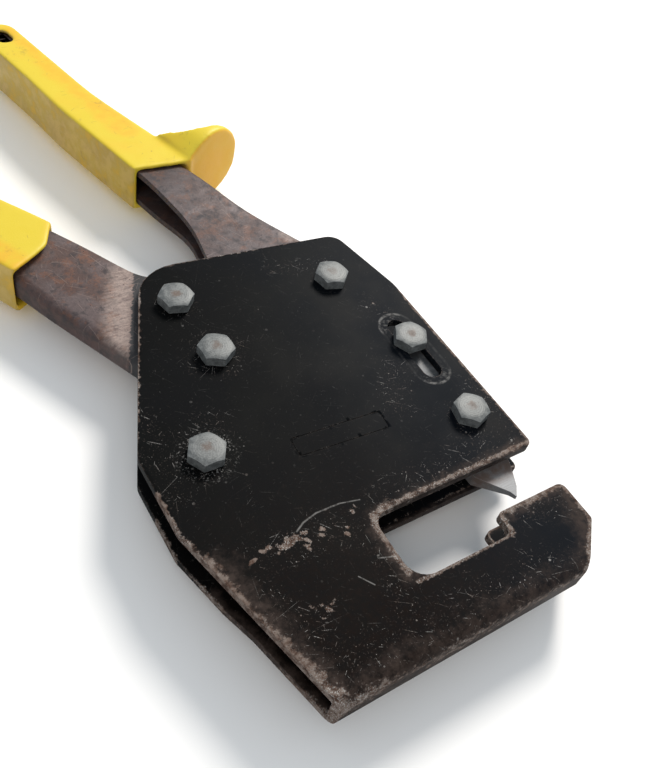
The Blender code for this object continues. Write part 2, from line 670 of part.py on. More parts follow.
def build_sleeve(name, line, front, guard=None):
    """A closed vinyl sleeve with soft edges, hollow from its front end, over the channel."""
    start = 1
    extra = GAP + SLEEVE_WALL
    half = CHANNEL_HALF + extra
    lip = line.edge(False, extra, start, SLEEVE_TIP_WALL)
    web = line.edge(True, extra, start, SLEEVE_TIP_WALL)
    run_up = line.along(start) * -20 * MM
    corners = [(*(web[0] + run_up), 0), (*(lip[0] + run_up), 0), *smoothed(lip[:-1]), (*lip[-1], 7 * MM),
               (*web[-1], 7 * MM), *smoothed(web[:-1])[::-1]]
    if line.web_side < 0:
        corners = corners[::-1]
    sleeve = outline_solid(name, rounded_outline(corners, 60), -half, half, YELLOW_VINYL)
    edges = sleeve.modifiers.new("soft_edges", "BEVEL")
    edges.width = SLEEVE_EDGE_R
    edges.segments = 3
    edges.limit_method = "ANGLE"
    edges.angle_limit = math.radians(50)
    edge = [line.local(start, ahead * MM, share, extra) for ahead, share in front]
    ahead_of_it = [line.local(start, -40 * MM, share, extra) for _, share in (front[-1], front[0])]
    outline = [(*edge[0], 0), *[(*p, 5 * MM) for p in edge[1:-1]], (*edge[-1], 0)]
    outline += [(*p, 0) for p in ahead_of_it]
    trim = outline_solid(name + "_front_cutter", rounded_outline(outline, 60), -Z_FAR, Z_FAR,
                         collection=CUTTERS)
    cut(sleeve, trim)
    if guard:
        boolean(sleeve, guard, "UNION")
    room = CHANNEL_HALF + GAP
    hollow_lip = line.edge(False, GAP, start, GAP)
    hollow_web = line.edge(True, GAP, start, GAP)
    near_lip = line.edge(False, GAP)[0]
    near_web = line.edge(True, GAP)[0]
    hollow = [(*near_web, 0), (*near_lip, 0), *smoothed(hollow_lip[:-1]), (*hollow_lip[-1], 3 * MM),
              (*hollow_web[-1], 3 * MM), *smoothed(hollow_web[:-1])[::-1]]
    cut(sleeve, outline_solid(name + "_hollow_cutter", rounded_outline(hollow, 60), -room, room,
                              collection=CUTTERS))
    return cut(sleeve, hang_hole(name + "_hang_hole", line, 0))


def build_guard():
    """The thumb guard: a round leaf that stands square to the handle, thick where it meets the sleeve."""
    start = 1
    extra = GAP + SLEEVE_WALL
    along, across = MOVING.along(start), MOVING.across(start)
    out = across * math.cos(GUARD_LEAN) + along * math.sin(GUARD_LEAN)
    side = along * math.cos(GUARD_LEAN) - across * math.sin(GUARD_LEAN)
    front_ahead, front_share = MOVING_FRONT[-1]
    front = front_ahead / front_share * MM + GUARD_BEHIND_FRONT
    foot = MOVING.local(start, front, 1.0, extra) - across * 1.0 * MM
    tip = foot + out * GUARD_REACH
    outline = rounded_outline([
        (*foot, 0),
        (*tip, 1.4 * MM),
        (*(tip + side * GUARD_T), 1.4 * MM),
        (*(foot + out * 0.35 * GUARD_REACH + side * GUARD_MIDDLE_T), 20 * MM),
        (*(foot + along * GUARD_ROOT_T), 0),
    ], 60)
    guard = outline_solid("guard_cutter", outline, -GUARD_DOWN, GUARD_UP, collection=CUTTERS)
    root_half = CHANNEL_HALF + extra - 0.6 * MM
    middle_z, leaf_half = (GUARD_UP - GUARD_DOWN) / 2, (GUARD_UP + GUARD_DOWN) / 2
    leaf = [(-2 * MM, root_half, 0)]
    for k in range(LEAF_STEPS + 1):
        turn = GUARD_ARC * (1 - 2 * k / LEAF_STEPS)
        x = GUARD_REACH - GUARD_LEAF_R * (1 - math.cos(turn))
        leaf.append((x, middle_z + leaf_half * math.sin(turn), 0))
    leaf.append((-2 * MM, -root_half, 0))
    place = Matrix(((out.x, 0, side.x, foot.x), (out.y, 0, side.y, foot.y), (0, 1, 0, 0), (0, 0, 0, 1)))
    face = outline_solid("guard_face_cutter", rounded_outline(leaf[::-1]), -40 * MM, 40 * MM,
                         place=place, collection=CUTTERS)
    return boolean(guard, face, "INTERSECT")


# ---------------------------------------------------------------- assembly

def pivot_empty(name, x, y, parent=None):
    empty = bpy.data.objects.new(name, None)
    empty.location = (x, y, 0)
    PARTS.objects.link(empty)
    if parent:
        empty.parent = parent
    return empty


def attach(parts, empty):
    """Parents the parts to an empty on their joint axis, leaving them where they are."""
    bpy.context.view_layer.update()
    for part in parts:
        part.parent = empty
        part.matrix_parent_inverse = empty.matrix_world.inverted()


def lowest_and_highest(parts):
    graph = bpy.context.evaluated_depsgraph_get()
    corners = []
    for part in parts:
        shape = part.evaluated_get(graph)
        corners += [shape.matrix_world @ v.co for v in shape.data.vertices]
    low = Vector([min(c[i] for c in corners) for i in range(3)])
    high = Vector([max(c[i] for c in corners) for i in range(3)])
    return low, high


def main():
    bolts = {label: build_bolt(label, *spot) for label, spot in BOLTS.items()}
    nuts = {label: build_nut(label, *spot) for label, spot in BOLTS.items()}
    frame_spacers, ram_spacers = build_spacers()
    fixed = [label for label in BOLTS if label != "ram"]
    frame_parts = [build_body(), build_fixed_handle(), build_sleeve("fixed_grip", FIXED, FIXED_FRONT)]
    frame_parts += [bolts[label] for label in fixed] + [nuts[label] for label in fixed] + frame_spacers
    handle_parts = [
        build_moving_handle(),
        build_sleeve("moving_grip", MOVING, MOVING_FRONT, build_guard()),
        rod("drive_pin", *DRIVE_PIN, DRIVE_PIN_R, -FLANGE_OUT, FLANGE_OUT, TOOL_STEEL),
    ]
    ram_parts = build_ram() + ram_spacers + [bolts["ram"], nuts["ram"]]
    arm_parts = [build_arm()]
    root = pivot_empty("tool", 0, 0)
    attach(frame_parts, root)
    attach(handle_parts, pivot_empty("handle_pivot_axis", *HANDLE_PIVOT[:2], root))
    attach(arm_parts, pivot_empty("arm_pivot_axis", *ARM_PIVOT[:2], root))
    attach(ram_parts, pivot_empty("ram_axis", *RAM_BOLT[:2], root))
    attach(list(CUTTERS.objects), root)
    bpy.context.view_layer.update()
    low, high = lowest_and_highest(frame_parts + handle_parts + ram_parts + arm_parts)
    root.location = (-(low.x + high.x) / 2, -(low.y + high.y) / 2, -low.z)
    bpy.context.view_layer.update()


main()
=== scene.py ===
import math

import bmesh
import bpy
import numpy as np
from mathutils import Matrix, Vector


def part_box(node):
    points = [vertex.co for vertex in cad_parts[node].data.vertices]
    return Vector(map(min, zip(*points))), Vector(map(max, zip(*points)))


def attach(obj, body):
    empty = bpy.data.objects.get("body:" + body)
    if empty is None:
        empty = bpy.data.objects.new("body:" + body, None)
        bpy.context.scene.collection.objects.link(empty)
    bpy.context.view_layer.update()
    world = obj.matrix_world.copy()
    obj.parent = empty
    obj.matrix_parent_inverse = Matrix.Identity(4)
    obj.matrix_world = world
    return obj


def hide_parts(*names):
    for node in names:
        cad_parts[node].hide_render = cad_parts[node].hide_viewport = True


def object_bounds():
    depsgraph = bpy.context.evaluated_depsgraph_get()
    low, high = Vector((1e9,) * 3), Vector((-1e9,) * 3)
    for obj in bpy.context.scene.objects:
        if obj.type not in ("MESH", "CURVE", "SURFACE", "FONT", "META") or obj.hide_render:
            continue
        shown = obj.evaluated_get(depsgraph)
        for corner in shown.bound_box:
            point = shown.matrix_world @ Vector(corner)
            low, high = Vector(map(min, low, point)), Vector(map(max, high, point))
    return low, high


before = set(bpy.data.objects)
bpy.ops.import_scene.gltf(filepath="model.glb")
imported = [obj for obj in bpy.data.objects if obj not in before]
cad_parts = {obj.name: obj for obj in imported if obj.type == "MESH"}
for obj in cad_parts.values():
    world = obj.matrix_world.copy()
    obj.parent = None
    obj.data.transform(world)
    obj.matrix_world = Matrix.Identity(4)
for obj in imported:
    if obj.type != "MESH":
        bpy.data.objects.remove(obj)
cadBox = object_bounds()
mm = 0.001


def boxCentre(node):
    low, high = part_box(node)
    return (low + high) / 2


# The arm pivot bolt is the datum for every place on the sheet, as (x, y, z) in millimetres
datum = boxCentre("arm_bush")


def onSheet(x, y, z=0.0):
    return datum + Vector((x, y, z)) * mm


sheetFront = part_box("body_plate")[1].z


# Camera, floor and light

view = {
    "place": onSheet(-79.2, -127.7, 218.76),
    "lookDownDeg": 48.22,
    "headingDeg": 43.0,
    "rollDeg": 15.15,
    "focalMm": 39.87,
    "sensorMm": 36.0,
    "nearestMetres": 0.01,
}


def makeCamera():
    down = math.radians(view["lookDownDeg"])
    heading = math.radians(view["headingDeg"])
    forward = Vector((math.cos(down) * math.sin(heading), math.cos(down) * math.cos(heading),
                      -math.sin(down)))
    level = Vector((math.cos(heading), -math.sin(heading), 0))
    turned = Matrix.Rotation(math.radians(-view["rollDeg"]), 3, forward)
    right = turned @ level
    up = right.cross(forward)
    data = bpy.data.cameras.new("benchCamera")
    data.lens = view["focalMm"]
    data.sensor_width = view["sensorMm"]
    data.clip_start = view["nearestMetres"]
    camera = bpy.data.objects.new("benchCamera", data)
    camera.matrix_world = Matrix.LocRotScale(view["place"], Matrix((right, up, -forward)).transposed(), None)
    bpy.context.scene.collection.objects.link(camera)
    bpy.context.scene.camera = camera


studio = {
    "floorColour": (0.93, 0.915, 0.895),
    "floorSize": 6.0,
    "floorRoughness": 0.6,
    "floorGapMm": 0.1,
    "lampsAim": (30, 0),
    "worldColour": (0.80, 0.90, 1.0),
    "worldStrength": 0.66,
    "keyPlace": (0.75, 0.45, 0.85),
    "keySize": 0.42,
    "keyWatts": 15.5,
    "keyColour": (1.0, 0.955, 0.90),
    "fillPlace": (-0.5, -0.7, 0.9),
    "fillSize": 0.9,
    "fillWatts": 3.0,
    "fillColour": (1.0, 0.86, 0.72),
}


def areaLamp(name, place, size, watts, colour, target):
    data = bpy.data.lights.new(name, "AREA")
    data.shape = "DISK"
    data.size = size
    data.energy = watts
    data.color = colour
    lamp = bpy.data.objects.new(name, data)
    lamp.location = place
    lamp.rotation_euler = (target - Vector(place)).to_track_quat("-Z", "Y").to_euler()
    bpy.context.scene.collection.objects.link(lamp)


def makeStudio():
    work = bmesh.new()
    bmesh.ops.create_grid(work, x_segments=1, y_segments=1, size=studio["floorSize"] / 2)
    mesh = bpy.data.meshes.new("benchTop")
    work.to_mesh(mesh)
    work.free()
    floor = bpy.data.objects.new("benchTop", mesh)
    floor.location.z = cadBox[0].z - studio["floorGapMm"] * mm
    bpy.context.scene.collection.objects.link(floor)
    paint = bpy.data.materials.new("benchWhite")
    paint.use_nodes = True
    shader = paint.node_tree.nodes["Principled BSDF"]
    shader.inputs["Base Color"].default_value = (*studio["floorColour"], 1)
    shader.inputs["Roughness"].default_value = studio["floorRoughness"]
    mesh.materials.append(paint)
    world = bpy.data.worlds.new("softRoom")
    bpy.context.scene.world = world
    world.use_nodes = True
    sky = world.node_tree.nodes["Background"]
    sky.inputs["Color"].default_value = (*studio["worldColour"], 1)
    sky.inputs["Strength"].default_value = studio["worldStrength"]
    middle = onSheet(*studio["lampsAim"])
    for lamp in ("key", "fill"):
        place, size, watts, colour = [studio[lamp + part] for part in ("Place", "Size", "Watts", "Colour")]
        areaLamp(lamp + "Lamp", place, size, watts, colour, middle)
    bpy.context.scene.view_settings.view_transform = "Standard"


makeCamera()
makeStudio()
print("camera, floor and light are set")


# Helpers for materials. Every pattern is in millimetres on Object coordinates

class Recipe:
    # A material and the nodes that make it up

    def __init__(self, name):
        self.material = bpy.data.materials.new(name)
        self.material.use_nodes = True
        self.tree = self.material.node_tree
        self.shader = self.tree.nodes["Principled BSDF"]
        spot = self.add("TexCoord")
        self.where = self.vector("SUBTRACT", spot.outputs["Object"], tuple(datum))
        self.where = self.vector("SCALE", self.where, scale=1 / mm)

    def add(self, kind, inputs=None, **settings):
        node = self.tree.nodes.new("ShaderNode" + kind)
        for key, value in settings.items():
            setattr(node, key, value)
        for key, value in (inputs or {}).items():
            if isinstance(value, bpy.types.NodeSocket):
                self.tree.links.new(value, node.inputs[key])
            else:
                node.inputs[key].default_value = value
        return node

    def vector(self, operation, first, second=None, scale=None):
        inputs = {0: first}
        if second is not None:
            inputs[1] = second
        if scale is not None:
            inputs["Scale"] = scale
        node = self.add("VectorMath", inputs, operation=operation)
        return node.outputs["Value" if operation in ("DOT_PRODUCT", "LENGTH") else "Vector"]

    def math(self, operation, first, second=None, clamp=False):
        inputs = {0: first}
        if second is not None:
            inputs[1] = second
        return self.add("Math", inputs, operation=operation, use_clamp=clamp).outputs[0]

    def ramp(self, value, low, high, start=0.0, end=1.0, smooth=True):
        kind = "SMOOTHSTEP" if smooth else "LINEAR"
        inputs = {"Value": value, "From Min": low, "From Max": high, "To Min": start, "To Max": end}
        return self.add("MapRange", inputs, interpolation_type=kind).outputs["Result"]

    def noise(self, size, detail=3.0, rough=0.55, where=None, stretch=None, turnDeg=0.0, shift=0.0):
        # Soft noise whose blotches are about size millimetres across
        spot = where or self.where
        if stretch or turnDeg or shift:
            inputs = {"Vector": spot, "Location": (shift, 2 * shift, -shift), "Scale": stretch or (1, 1, 1),
                      "Rotation": (0, 0, math.radians(turnDeg))}
            spot = self.add("Mapping", inputs).outputs[0]
        inputs = {"Vector": spot, "Scale": 1 / size, "Detail": detail, "Roughness": rough}
        return self.add("TexNoise", inputs).outputs[0]

    def both(self, first, second):
        return self.math("MULTIPLY", first, second)

    def most(self, *values):
        total = values[0]
        for value in values[1:]:
            total = self.math("MAXIMUM", total, value)
        return total

    def mix(self, share, first, second):
        inputs = {"Factor": share}
        node = self.add("Mix", inputs, data_type="RGBA")
        for key, value in ((6, first), (7, second)):
            if isinstance(value, bpy.types.NodeSocket):
                self.tree.links.new(value, node.inputs[key])
            else:
                node.inputs[key].default_value = (*value, 1)
        return node.outputs[2]

    def strokes(self, cell, length, width, chance, shift=0.0, angleDeg=None, spreadDeg=180.0):
        # Short straight scratches, one at most in each cell, each at its own angle
        spot = self.vector("ADD", self.where, (shift, -2 * shift, 0))
        cells = self.add("TexVoronoi", {"Vector": spot, "Scale": 1 / cell}, voronoi_dimensions="2D")
        local = self.vector("SUBTRACT", spot, cells.outputs["Position"])
        draw = self.add("SeparateColor", {0: cells.outputs["Color"]})
        middle = math.radians(90 if angleDeg is None else angleDeg)
        spread = math.radians(spreadDeg)
        angle = self.ramp(draw.outputs[0], 0, 1, middle - spread / 2, middle + spread / 2, smooth=False)
        turned = self.add("VectorRotate", {"Vector": local, "Angle": angle}, rotation_type="Z_AXIS")
        part = self.add("SeparateXYZ", {0: turned.outputs[0]})
        reach = self.ramp(draw.outputs[1], 0, 1, 0.3 * length, length, smooth=False)
        along = self.math("DIVIDE", self.math("ABSOLUTE", part.outputs[0]), reach)
        across = self.math("ABSOLUTE", part.outputs[1])
        taper = self.ramp(along, 0.5, 1.0, 1.0, 0.0)
        line = self.ramp(across, 0.35 * width, width, 1.0, 0.0)
        gate = self.ramp(draw.outputs[2], 1 - chance, 1 - chance + 0.02)
        return self.both(self.both(taper, line), gate)

    def specks(self, cell, radius, chance, shift=0.0):
        # Small chips, one at most in each cell
        spot = self.vector("ADD", self.where, (shift, shift, 0))
        cells = self.add("TexVoronoi", {"Vector": spot, "Scale": 1 / cell}, voronoi_dimensions="3D")
        draw = self.add("SeparateColor", {0: cells.outputs["Color"]})
        away = self.math("MULTIPLY", cells.outputs["Distance"], cell)
        size = self.ramp(draw.outputs[0], 0, 1, 0.35 * radius, radius, smooth=False)
        dot = self.ramp(self.math("DIVIDE", away, size), 0.6, 1.0, 1.0, 0.0)
        gate = self.ramp(draw.outputs[1], 1 - chance, 1 - chance + 0.02)
        return self.both(dot, gate)

    def nearLine(self, start, end, width, ragged=None, raggedBy=0.0):
        # 1 on a line from start to end on the sheet, fading to 0 at width millimetres from it
        distance = self.awayFrom(start, end)
        if ragged:
            lift = self.math("MULTIPLY", self.math("SUBTRACT", ragged, 0.5), raggedBy)
            distance = self.math("ADD", distance, lift)
        return self.ramp(distance, 0.15 * width, width, 1.0, 0.0)

    def awayFrom(self, start, end):
        # Distance in millimetres from a line on the sheet
        run = Vector(end) - Vector(start)
        flat = self.vector("MULTIPLY", self.where, (1, 1, 0))
        away = self.vector("SUBTRACT", flat, (*start, 0))
        share = self.vector("DOT_PRODUCT", away, (*(run / run.length_squared), 0))
        share = self.ramp(share, 0, 1, smooth=False)
        along = self.add("VectorMath", {0: (*run, 0), "Scale": share}, operation="SCALE").outputs[0]
        return self.vector("LENGTH", self.vector("SUBTRACT", away, along))

    def nearPoint(self, place, inner, outer):
        away = self.vector("SUBTRACT", self.vector("MULTIPLY", self.where, (1, 1, 0)), (*place, 0))
        return self.ramp(self.vector("LENGTH", away), inner, outer, 1.0, 0.0)

    def edges(self, radius, low=0.02, high=0.35):
        # 1 along convex and concave edges, 0 on open faces
        soft = self.add("Bevel", {"Radius": radius * mm}, samples=6)
        face = self.add("NewGeometry")
        same = self.vector("DOT_PRODUCT", soft.outputs[0], face.outputs["Normal"])
        return self.ramp(self.math("SUBTRACT", 1.0, same), low, high)

    def facing(self, axis):
        # How far the surface faces along one axis, 0 to 1, either way round
        face = self.add("NewGeometry")
        return self.math("ABSOLUTE", self.vector("DOT_PRODUCT", face.outputs["Normal"], axis))

    def bump(self, height, depth, normal=None):
        inputs = {"Height": height, "Distance": depth * mm, "Strength": 1.0}
        if normal:
            inputs["Normal"] = normal
        return self.add("Bump", inputs).outputs[0]

    def finish(self, colour, roughness, normal=None, metallic=None):
        for key, value in (("Base Color", colour), ("Roughness", roughness), ("Normal", normal),
                           ("Metallic", metallic)):
            if isinstance(value, bpy.types.NodeSocket):
                self.tree.links.new(value, self.shader.inputs[key])
            elif isinstance(value, tuple):
                self.shader.inputs[key].default_value = (*value, 1)
            elif value is not None:
                self.shader.inputs[key].default_value = value
        return self.material


# Black paint of the folded sheet

sheetPaint = {
    "black": (0.0015, 0.0018, 0.0018),
    "haze": (0.0028, 0.0031, 0.0036),
    "brownHaze": (0.0062, 0.0032, 0.0022),
    # Colour of a painted bluish reflection on the sheet
    "paintedBlueReflection": (0.0036, 0.0052, 0.0078),
    "smudge": (0.050, 0.036, 0.030),
    "bareSteel": (0.175, 0.140, 0.120),
    "brightSteel": (0.36, 0.345, 0.325),
    "rust": (0.085, 0.048, 0.033),
    "roughness": 0.48,
    "shine": 0.04,
}

# Rubbed edges as (start, end, width), on the sheet in millimetres
rubbedEdges = [
    ((-19.0, -6.0), (-19.0, -22.0), 1.8), ((-19.0, -22.0), (-16.4, -32.0), 2.4),
    ((-16.4, -32.0), (-11.5, -56.0), 4.6), ((-11.5, -56.0), (-4.4, -80.0), 5.4),
    ((-4.4, -80.0), (-2.6, -86.0), 7.4), ((-3.0, -84.6), (10.0, -84.6), 5.2),
    ((10.0, -84.8), (92.0, -84.8), 3.2), ((34.0, -43.0), (34.2, -60.0), 2.4),
    ((35.0, -40.6), (41.0, -38.6), 3.2), ((40.0, -38.8), (99.0, -38.6), 1.5),
    ((71.0, -63.0), (71.0, -56.0), 2.6), ((71.0, -55.8), (98.0, -55.8), 3.2),
    ((98.3, -58.0), (98.3, -70.0), 2.2), ((98.3, -70.5), (86.0, -83.0), 2.6),
    ((35.0, -63.4), (70.0, -63.4), 1.4), ((99.4, -38.0), (98.9, 38.0), 1.0),
    ((14.2, 82.0), (-18.5, 9.0), 0.9), ((15.0, 81.8), (90.0, 75.0), 1.1),
]

# Scraped patches as (start, end, width)
scrapes = [
    ((-1.0, -35.4), (3.0, -35.6), 1.1), ((3.5, -38.0), (6.8, -36.6), 1.3),
    ((6.0, -36.8), (11.0, -36.0), 2.5), ((11.7, -40.7), (13.4, -38.4), 1.4),
    ((12.4, -36.6), (14.2, -35.0), 1.3), ((17.0, -38.6), (19.4, -36.6), 1.3),
    ((-5.0, -37.4), (-3.0, -36.8), 1.2), ((3.4, -57.2), (10.4, -57.4), 1.1),
    ((5.2, -60.4), (8.0, -59.6), 1.1), ((29.5, -36.0), (31.5, -34.6), 1.1),
    ((24.0, -42.0), (26.0, -40.0), 1.1),
]

# Broad brown smudges as (start, end, width)
smudges = [
    ((4.0, -85.0), (94.0, -85.0), 13.0), ((-15.0, -36.0), (-3.0, -84.0), 11.0),
    ((98.0, -60.0), (90.0, -80.0), 8.0), ((72.0, -56.0), (98.0, -56.0), 6.0),
    ((36.0, -40.0), (98.0, -39.0), 5.0), ((34.0, -44.0), (34.0, -60.0), 6.0),
]

# Single scratches as (start, end, width)
deepScratches = [
    ((11.7, -34.4), (15.0, -32.6), 0.42), ((15.0, -32.6), (20.0, -31.5), 0.42),
    ((20.0, -31.5), (28.1, -31.7), 0.38), ((28.1, -31.7), (34.4, -33.2), 0.32),
    ((20.2, -54.4), (23.0, -58.6), 0.30), ((28.6, -52.1), (33.0, -53.7), 0.32),
]

# Places where small chips and ticks gather, as (start, end, width)
chipped = [
    ((19.2, 62.5), (19.2, 62.5), 11.0), ((21.1, 35.7), (21.1, 35.7), 15.0), ((0.0, 0.0), (4.0, 6.0), 14.0),
    ((-12.0, 20.0), (-14.0, -10.0), 8.0), ((87.0, -20.7), (84.0, -34.0), 14.0),
    ((96.0, -10.0), (97.0, -36.0), 7.0), ((74.0, 6.0), (66.0, -6.0), 9.0),
    ((40.0, -34.0), (84.0, -34.0), 7.0), ((2.0, -38.0), (26.0, -40.0), 11.0),
    ((-6.0, -52.0), (6.0, -76.0), 9.0), ((8.0, -76.0), (80.0, -78.0), 11.0),
    ((76.0, -60.0), (94.0, -62.0), 8.0), ((30.0, -46.0), (28.0, -66.0), 7.0),
    ((84.0, 38.0), (88.0, 26.0), 5.0), ((60.0, 66.0), (80.0, 62.0), 6.0),
]

# Places on the sheet where the sliding bolt and the arm's bolt have rubbed
boltWear = {
    "slotStart": (87.0, 1.0),
    "slotEnd": (87.0, 22.4),
    "slotRingR": 6.6,
    "slotNear": (87.0, -6.0),
    "slotFar": (85.0, 27.0),
    "armPlace": (0.0, 0.0),
    "armRings": (7.2, 11.5),
}


def blackPaint():
    # Worn places are painted on the sheet's vertices, and a ragged noise breaks up their borders
    kit = Recipe("blackPaint")
    broad = kit.noise(26, 3)
    fine = kit.noise(2.2, 4, 0.65)
    grit = kit.noise(0.45, 2, 0.6)
    ragged = kit.noise(1.9, 5, 0.72, shift=11)
    colour = kit.mix(kit.ramp(broad, 0.42, 0.7), sheetPaint["black"], sheetPaint["haze"])
    place = kit.add("SeparateXYZ", {0: kit.where})
    low = kit.both(kit.ramp(place.outputs[1], 10, -75), kit.ramp(fine, 0.3, 0.75, 0.3, 1.0))
    colour = kit.mix(low, colour, sheetPaint["brownHaze"])
    # Painted reflection: a bluish sheen that grows towards larger x on the sheet, broken up by broad noise
    outer = kit.both(kit.ramp(place.outputs[0], 25, 95), kit.ramp(broad, 0.3, 0.6, 0.4, 1.0))
    colour = kit.mix(outer, colour, sheetPaint["paintedBlueReflection"])
    gather = kit.add("Attribute", attribute_name="chipped").outputs["Fac"]
    crowd = kit.math("ADD", gather, kit.both(kit.math("SUBTRACT", kit.noise(9, 4, 0.65, shift=7), 0.5), 1.6))
    crowd = kit.ramp(crowd, 0.05, 0.75, 0.10, 1.0)
    hairlines = kit.most(
        kit.strokes(1.9, 1.0, 0.075, 0.35, 3), kit.strokes(4.4, 2.2, 0.10, 0.35, 17),
        kit.strokes(9.5, 8.0, 0.060, 0.25, 41), kit.strokes(6.0, 3.0, 0.12, 0.35, 63, 38, 50))
    hairlines = kit.both(hairlines, kit.ramp(grit, 0.40, 0.56, 0.10, 1.0))
    chips = kit.most(
        kit.specks(1.5, 0.26, 0.35, 5), kit.specks(3.1, 0.62, 0.26, 29), kit.specks(0.9, 0.16, 0.3, 47))
    marks = kit.both(kit.most(hairlines, chips), crowd)
    dimmer = kit.ramp(kit.noise(7, 3, 0.6, shift=23), 0.42, 0.60)
    tint = kit.mix(dimmer, sheetPaint["brightSteel"], sheetPaint["bareSteel"])
    colour = kit.mix(kit.both(marks, kit.ramp(fine, 0.3, 0.7, 0.35, 1.0)), colour, tint)
    dust = kit.both(kit.ramp(kit.noise(0.6, 3, 0.7, shift=51), 0.58, 0.72), kit.both(crowd, 0.28))
    colour = kit.mix(dust, colour, sheetPaint["bareSteel"])
    smudged = kit.add("Attribute", attribute_name="smudged").outputs["Fac"]
    cloud = kit.math("SUBTRACT", kit.noise(5, 5, 0.7, shift=37), 0.5)
    smudged = kit.math("ADD", smudged, kit.both(cloud, 1.5))
    smudged = kit.both(kit.ramp(smudged, 0.15, 0.95), kit.ramp(fine, 0.28, 0.62, 0.25, 1.0))
    colour = kit.mix(kit.both(smudged, 0.75), colour, sheetPaint["smudge"])
    long = kit.nearLine(*deepScratches[0])
    for scratch in deepScratches[1:]:
        long = kit.most(long, kit.nearLine(*scratch))
    ringMarks = kit.nearPoint(boltWear["armPlace"], *boltWear["armRings"])
    ringMarks = kit.both(ringMarks, kit.ramp(kit.noise(0.8, 3, 0.7), 0.55, 0.7))
    fromSlot = kit.awayFrom(boltWear["slotStart"], boltWear["slotEnd"])
    fromRing = kit.math("ABSOLUTE", kit.math("SUBTRACT", fromSlot, boltWear["slotRingR"]))
    slotRing = kit.ramp(fromRing, 0.15, 0.75, 1.0, 0.0)
    slotRing = kit.both(slotRing, kit.ramp(ragged, 0.42, 0.56, 0.15, 0.9))
    slotEnds = kit.most(
        kit.nearPoint(boltWear["slotNear"], 4.0, 10.0), kit.nearPoint(boltWear["slotFar"], 4.0, 9.0))
    slotScuff = kit.ramp(fromSlot, 4.2, 7.2, 0.5, 0.0)
    slotScuff = kit.both(slotScuff, kit.ramp(kit.noise(1.2, 4, 0.7, shift=3), 0.48, 0.64))
    slotWear = kit.both(kit.most(slotRing, slotScuff), kit.ramp(slotEnds, 0, 1, 0.12, 0.75))
    breakUp = kit.math("MULTIPLY", kit.math("SUBTRACT", ragged, 0.5), 1.8)
    rubbed = kit.add("Attribute", attribute_name="rubbed").outputs["Fac"]
    rubbed = kit.ramp(kit.math("ADD", rubbed, breakUp), 0.34, 0.66)
    scraped = kit.add("Attribute", attribute_name="scraped").outputs["Fac"]
    scraped = kit.ramp(kit.math("ADD", scraped, breakUp), 0.42, 0.6)
    sharp = kit.both(kit.edges(0.9), kit.ramp(ragged, 0.44, 0.60, 0.05, 0.8))
    rubbed = kit.both(rubbed, kit.ramp(fine, 0.34, 0.56, 0.45, 1.0))
    bare = kit.mix(kit.ramp(fine, 0.35, 0.65), sheetPaint["rust"], sheetPaint["bareSteel"])
    glint = kit.both(kit.ramp(grit, 0.5, 0.68), kit.ramp(broad, 0.4, 0.6))
    bare = kit.mix(glint, bare, sheetPaint["brightSteel"])
    worn = kit.most(rubbed, sharp, kit.both(scraped, kit.ramp(fine, 0.3, 0.5, 0.5, 1.0)))
    colour = kit.mix(worn, colour, bare)
    faint = kit.most(kit.both(long, kit.ramp(ragged, 0.35, 0.6, 0.2, 0.8)), ringMarks, slotWear)
    colour = kit.mix(kit.both(faint, 0.5), colour, sheetPaint["brightSteel"])
    rough = kit.ramp(broad, 0.3, 0.75, sheetPaint["roughness"], sheetPaint["roughness"] + 0.12)
    rough = kit.math("ADD", rough, kit.both(worn, 0.18))
    relief = kit.math("SUBTRACT", kit.both(fine, 0.25), kit.both(kit.most(worn, long, marks), 0.7))
    kit.shader.inputs["Specular IOR Level"].default_value = sheetPaint["shine"]
    return kit.finish(colour, rough, kit.bump(relief, 0.05), kit.both(worn, 0.25))


# Bare steel of the handles

handleSteelLook = {
    "brown": (0.080, 0.042, 0.033),
    "grey": (0.108, 0.076, 0.072),
    "dark": (0.022, 0.015, 0.016),
    "rust": (0.155, 0.062, 0.032),
    # Dark brown of the painted shade on the handles' upright web
    "webShadeBrown": (0.062, 0.026, 0.020),
    "scuffed": (0.36, 0.275, 0.235),
    # Near black of the painted shade along the sheet's edge
    "smear": (0.010, 0.012, 0.014),
    # Bluish dark of the painted shade laid over the whole moving handle
    "inside": (0.022, 0.022, 0.027),
}

# Pale scuffs, and a dark band of painted shade on the fixed handle along the sheet's edge, as (start, end,
# width)
handleWear = {
    "fixedScuff": ((9.5, 85.5), (-8.0, 48.5), 8.0),
    "fixedEdgeShade": ((15.2, 84.0), (-2.8, 46.0), 3.2),
    "movingScuff": ((76.0, 84.0), (82.5, 79.5), 4.0),
    # How bright each handle's copy of the steel is; below 1 is painted shade over the whole piece
    "fixedBrightness": 1.0,
    "movingBrightness": 0.62,
}


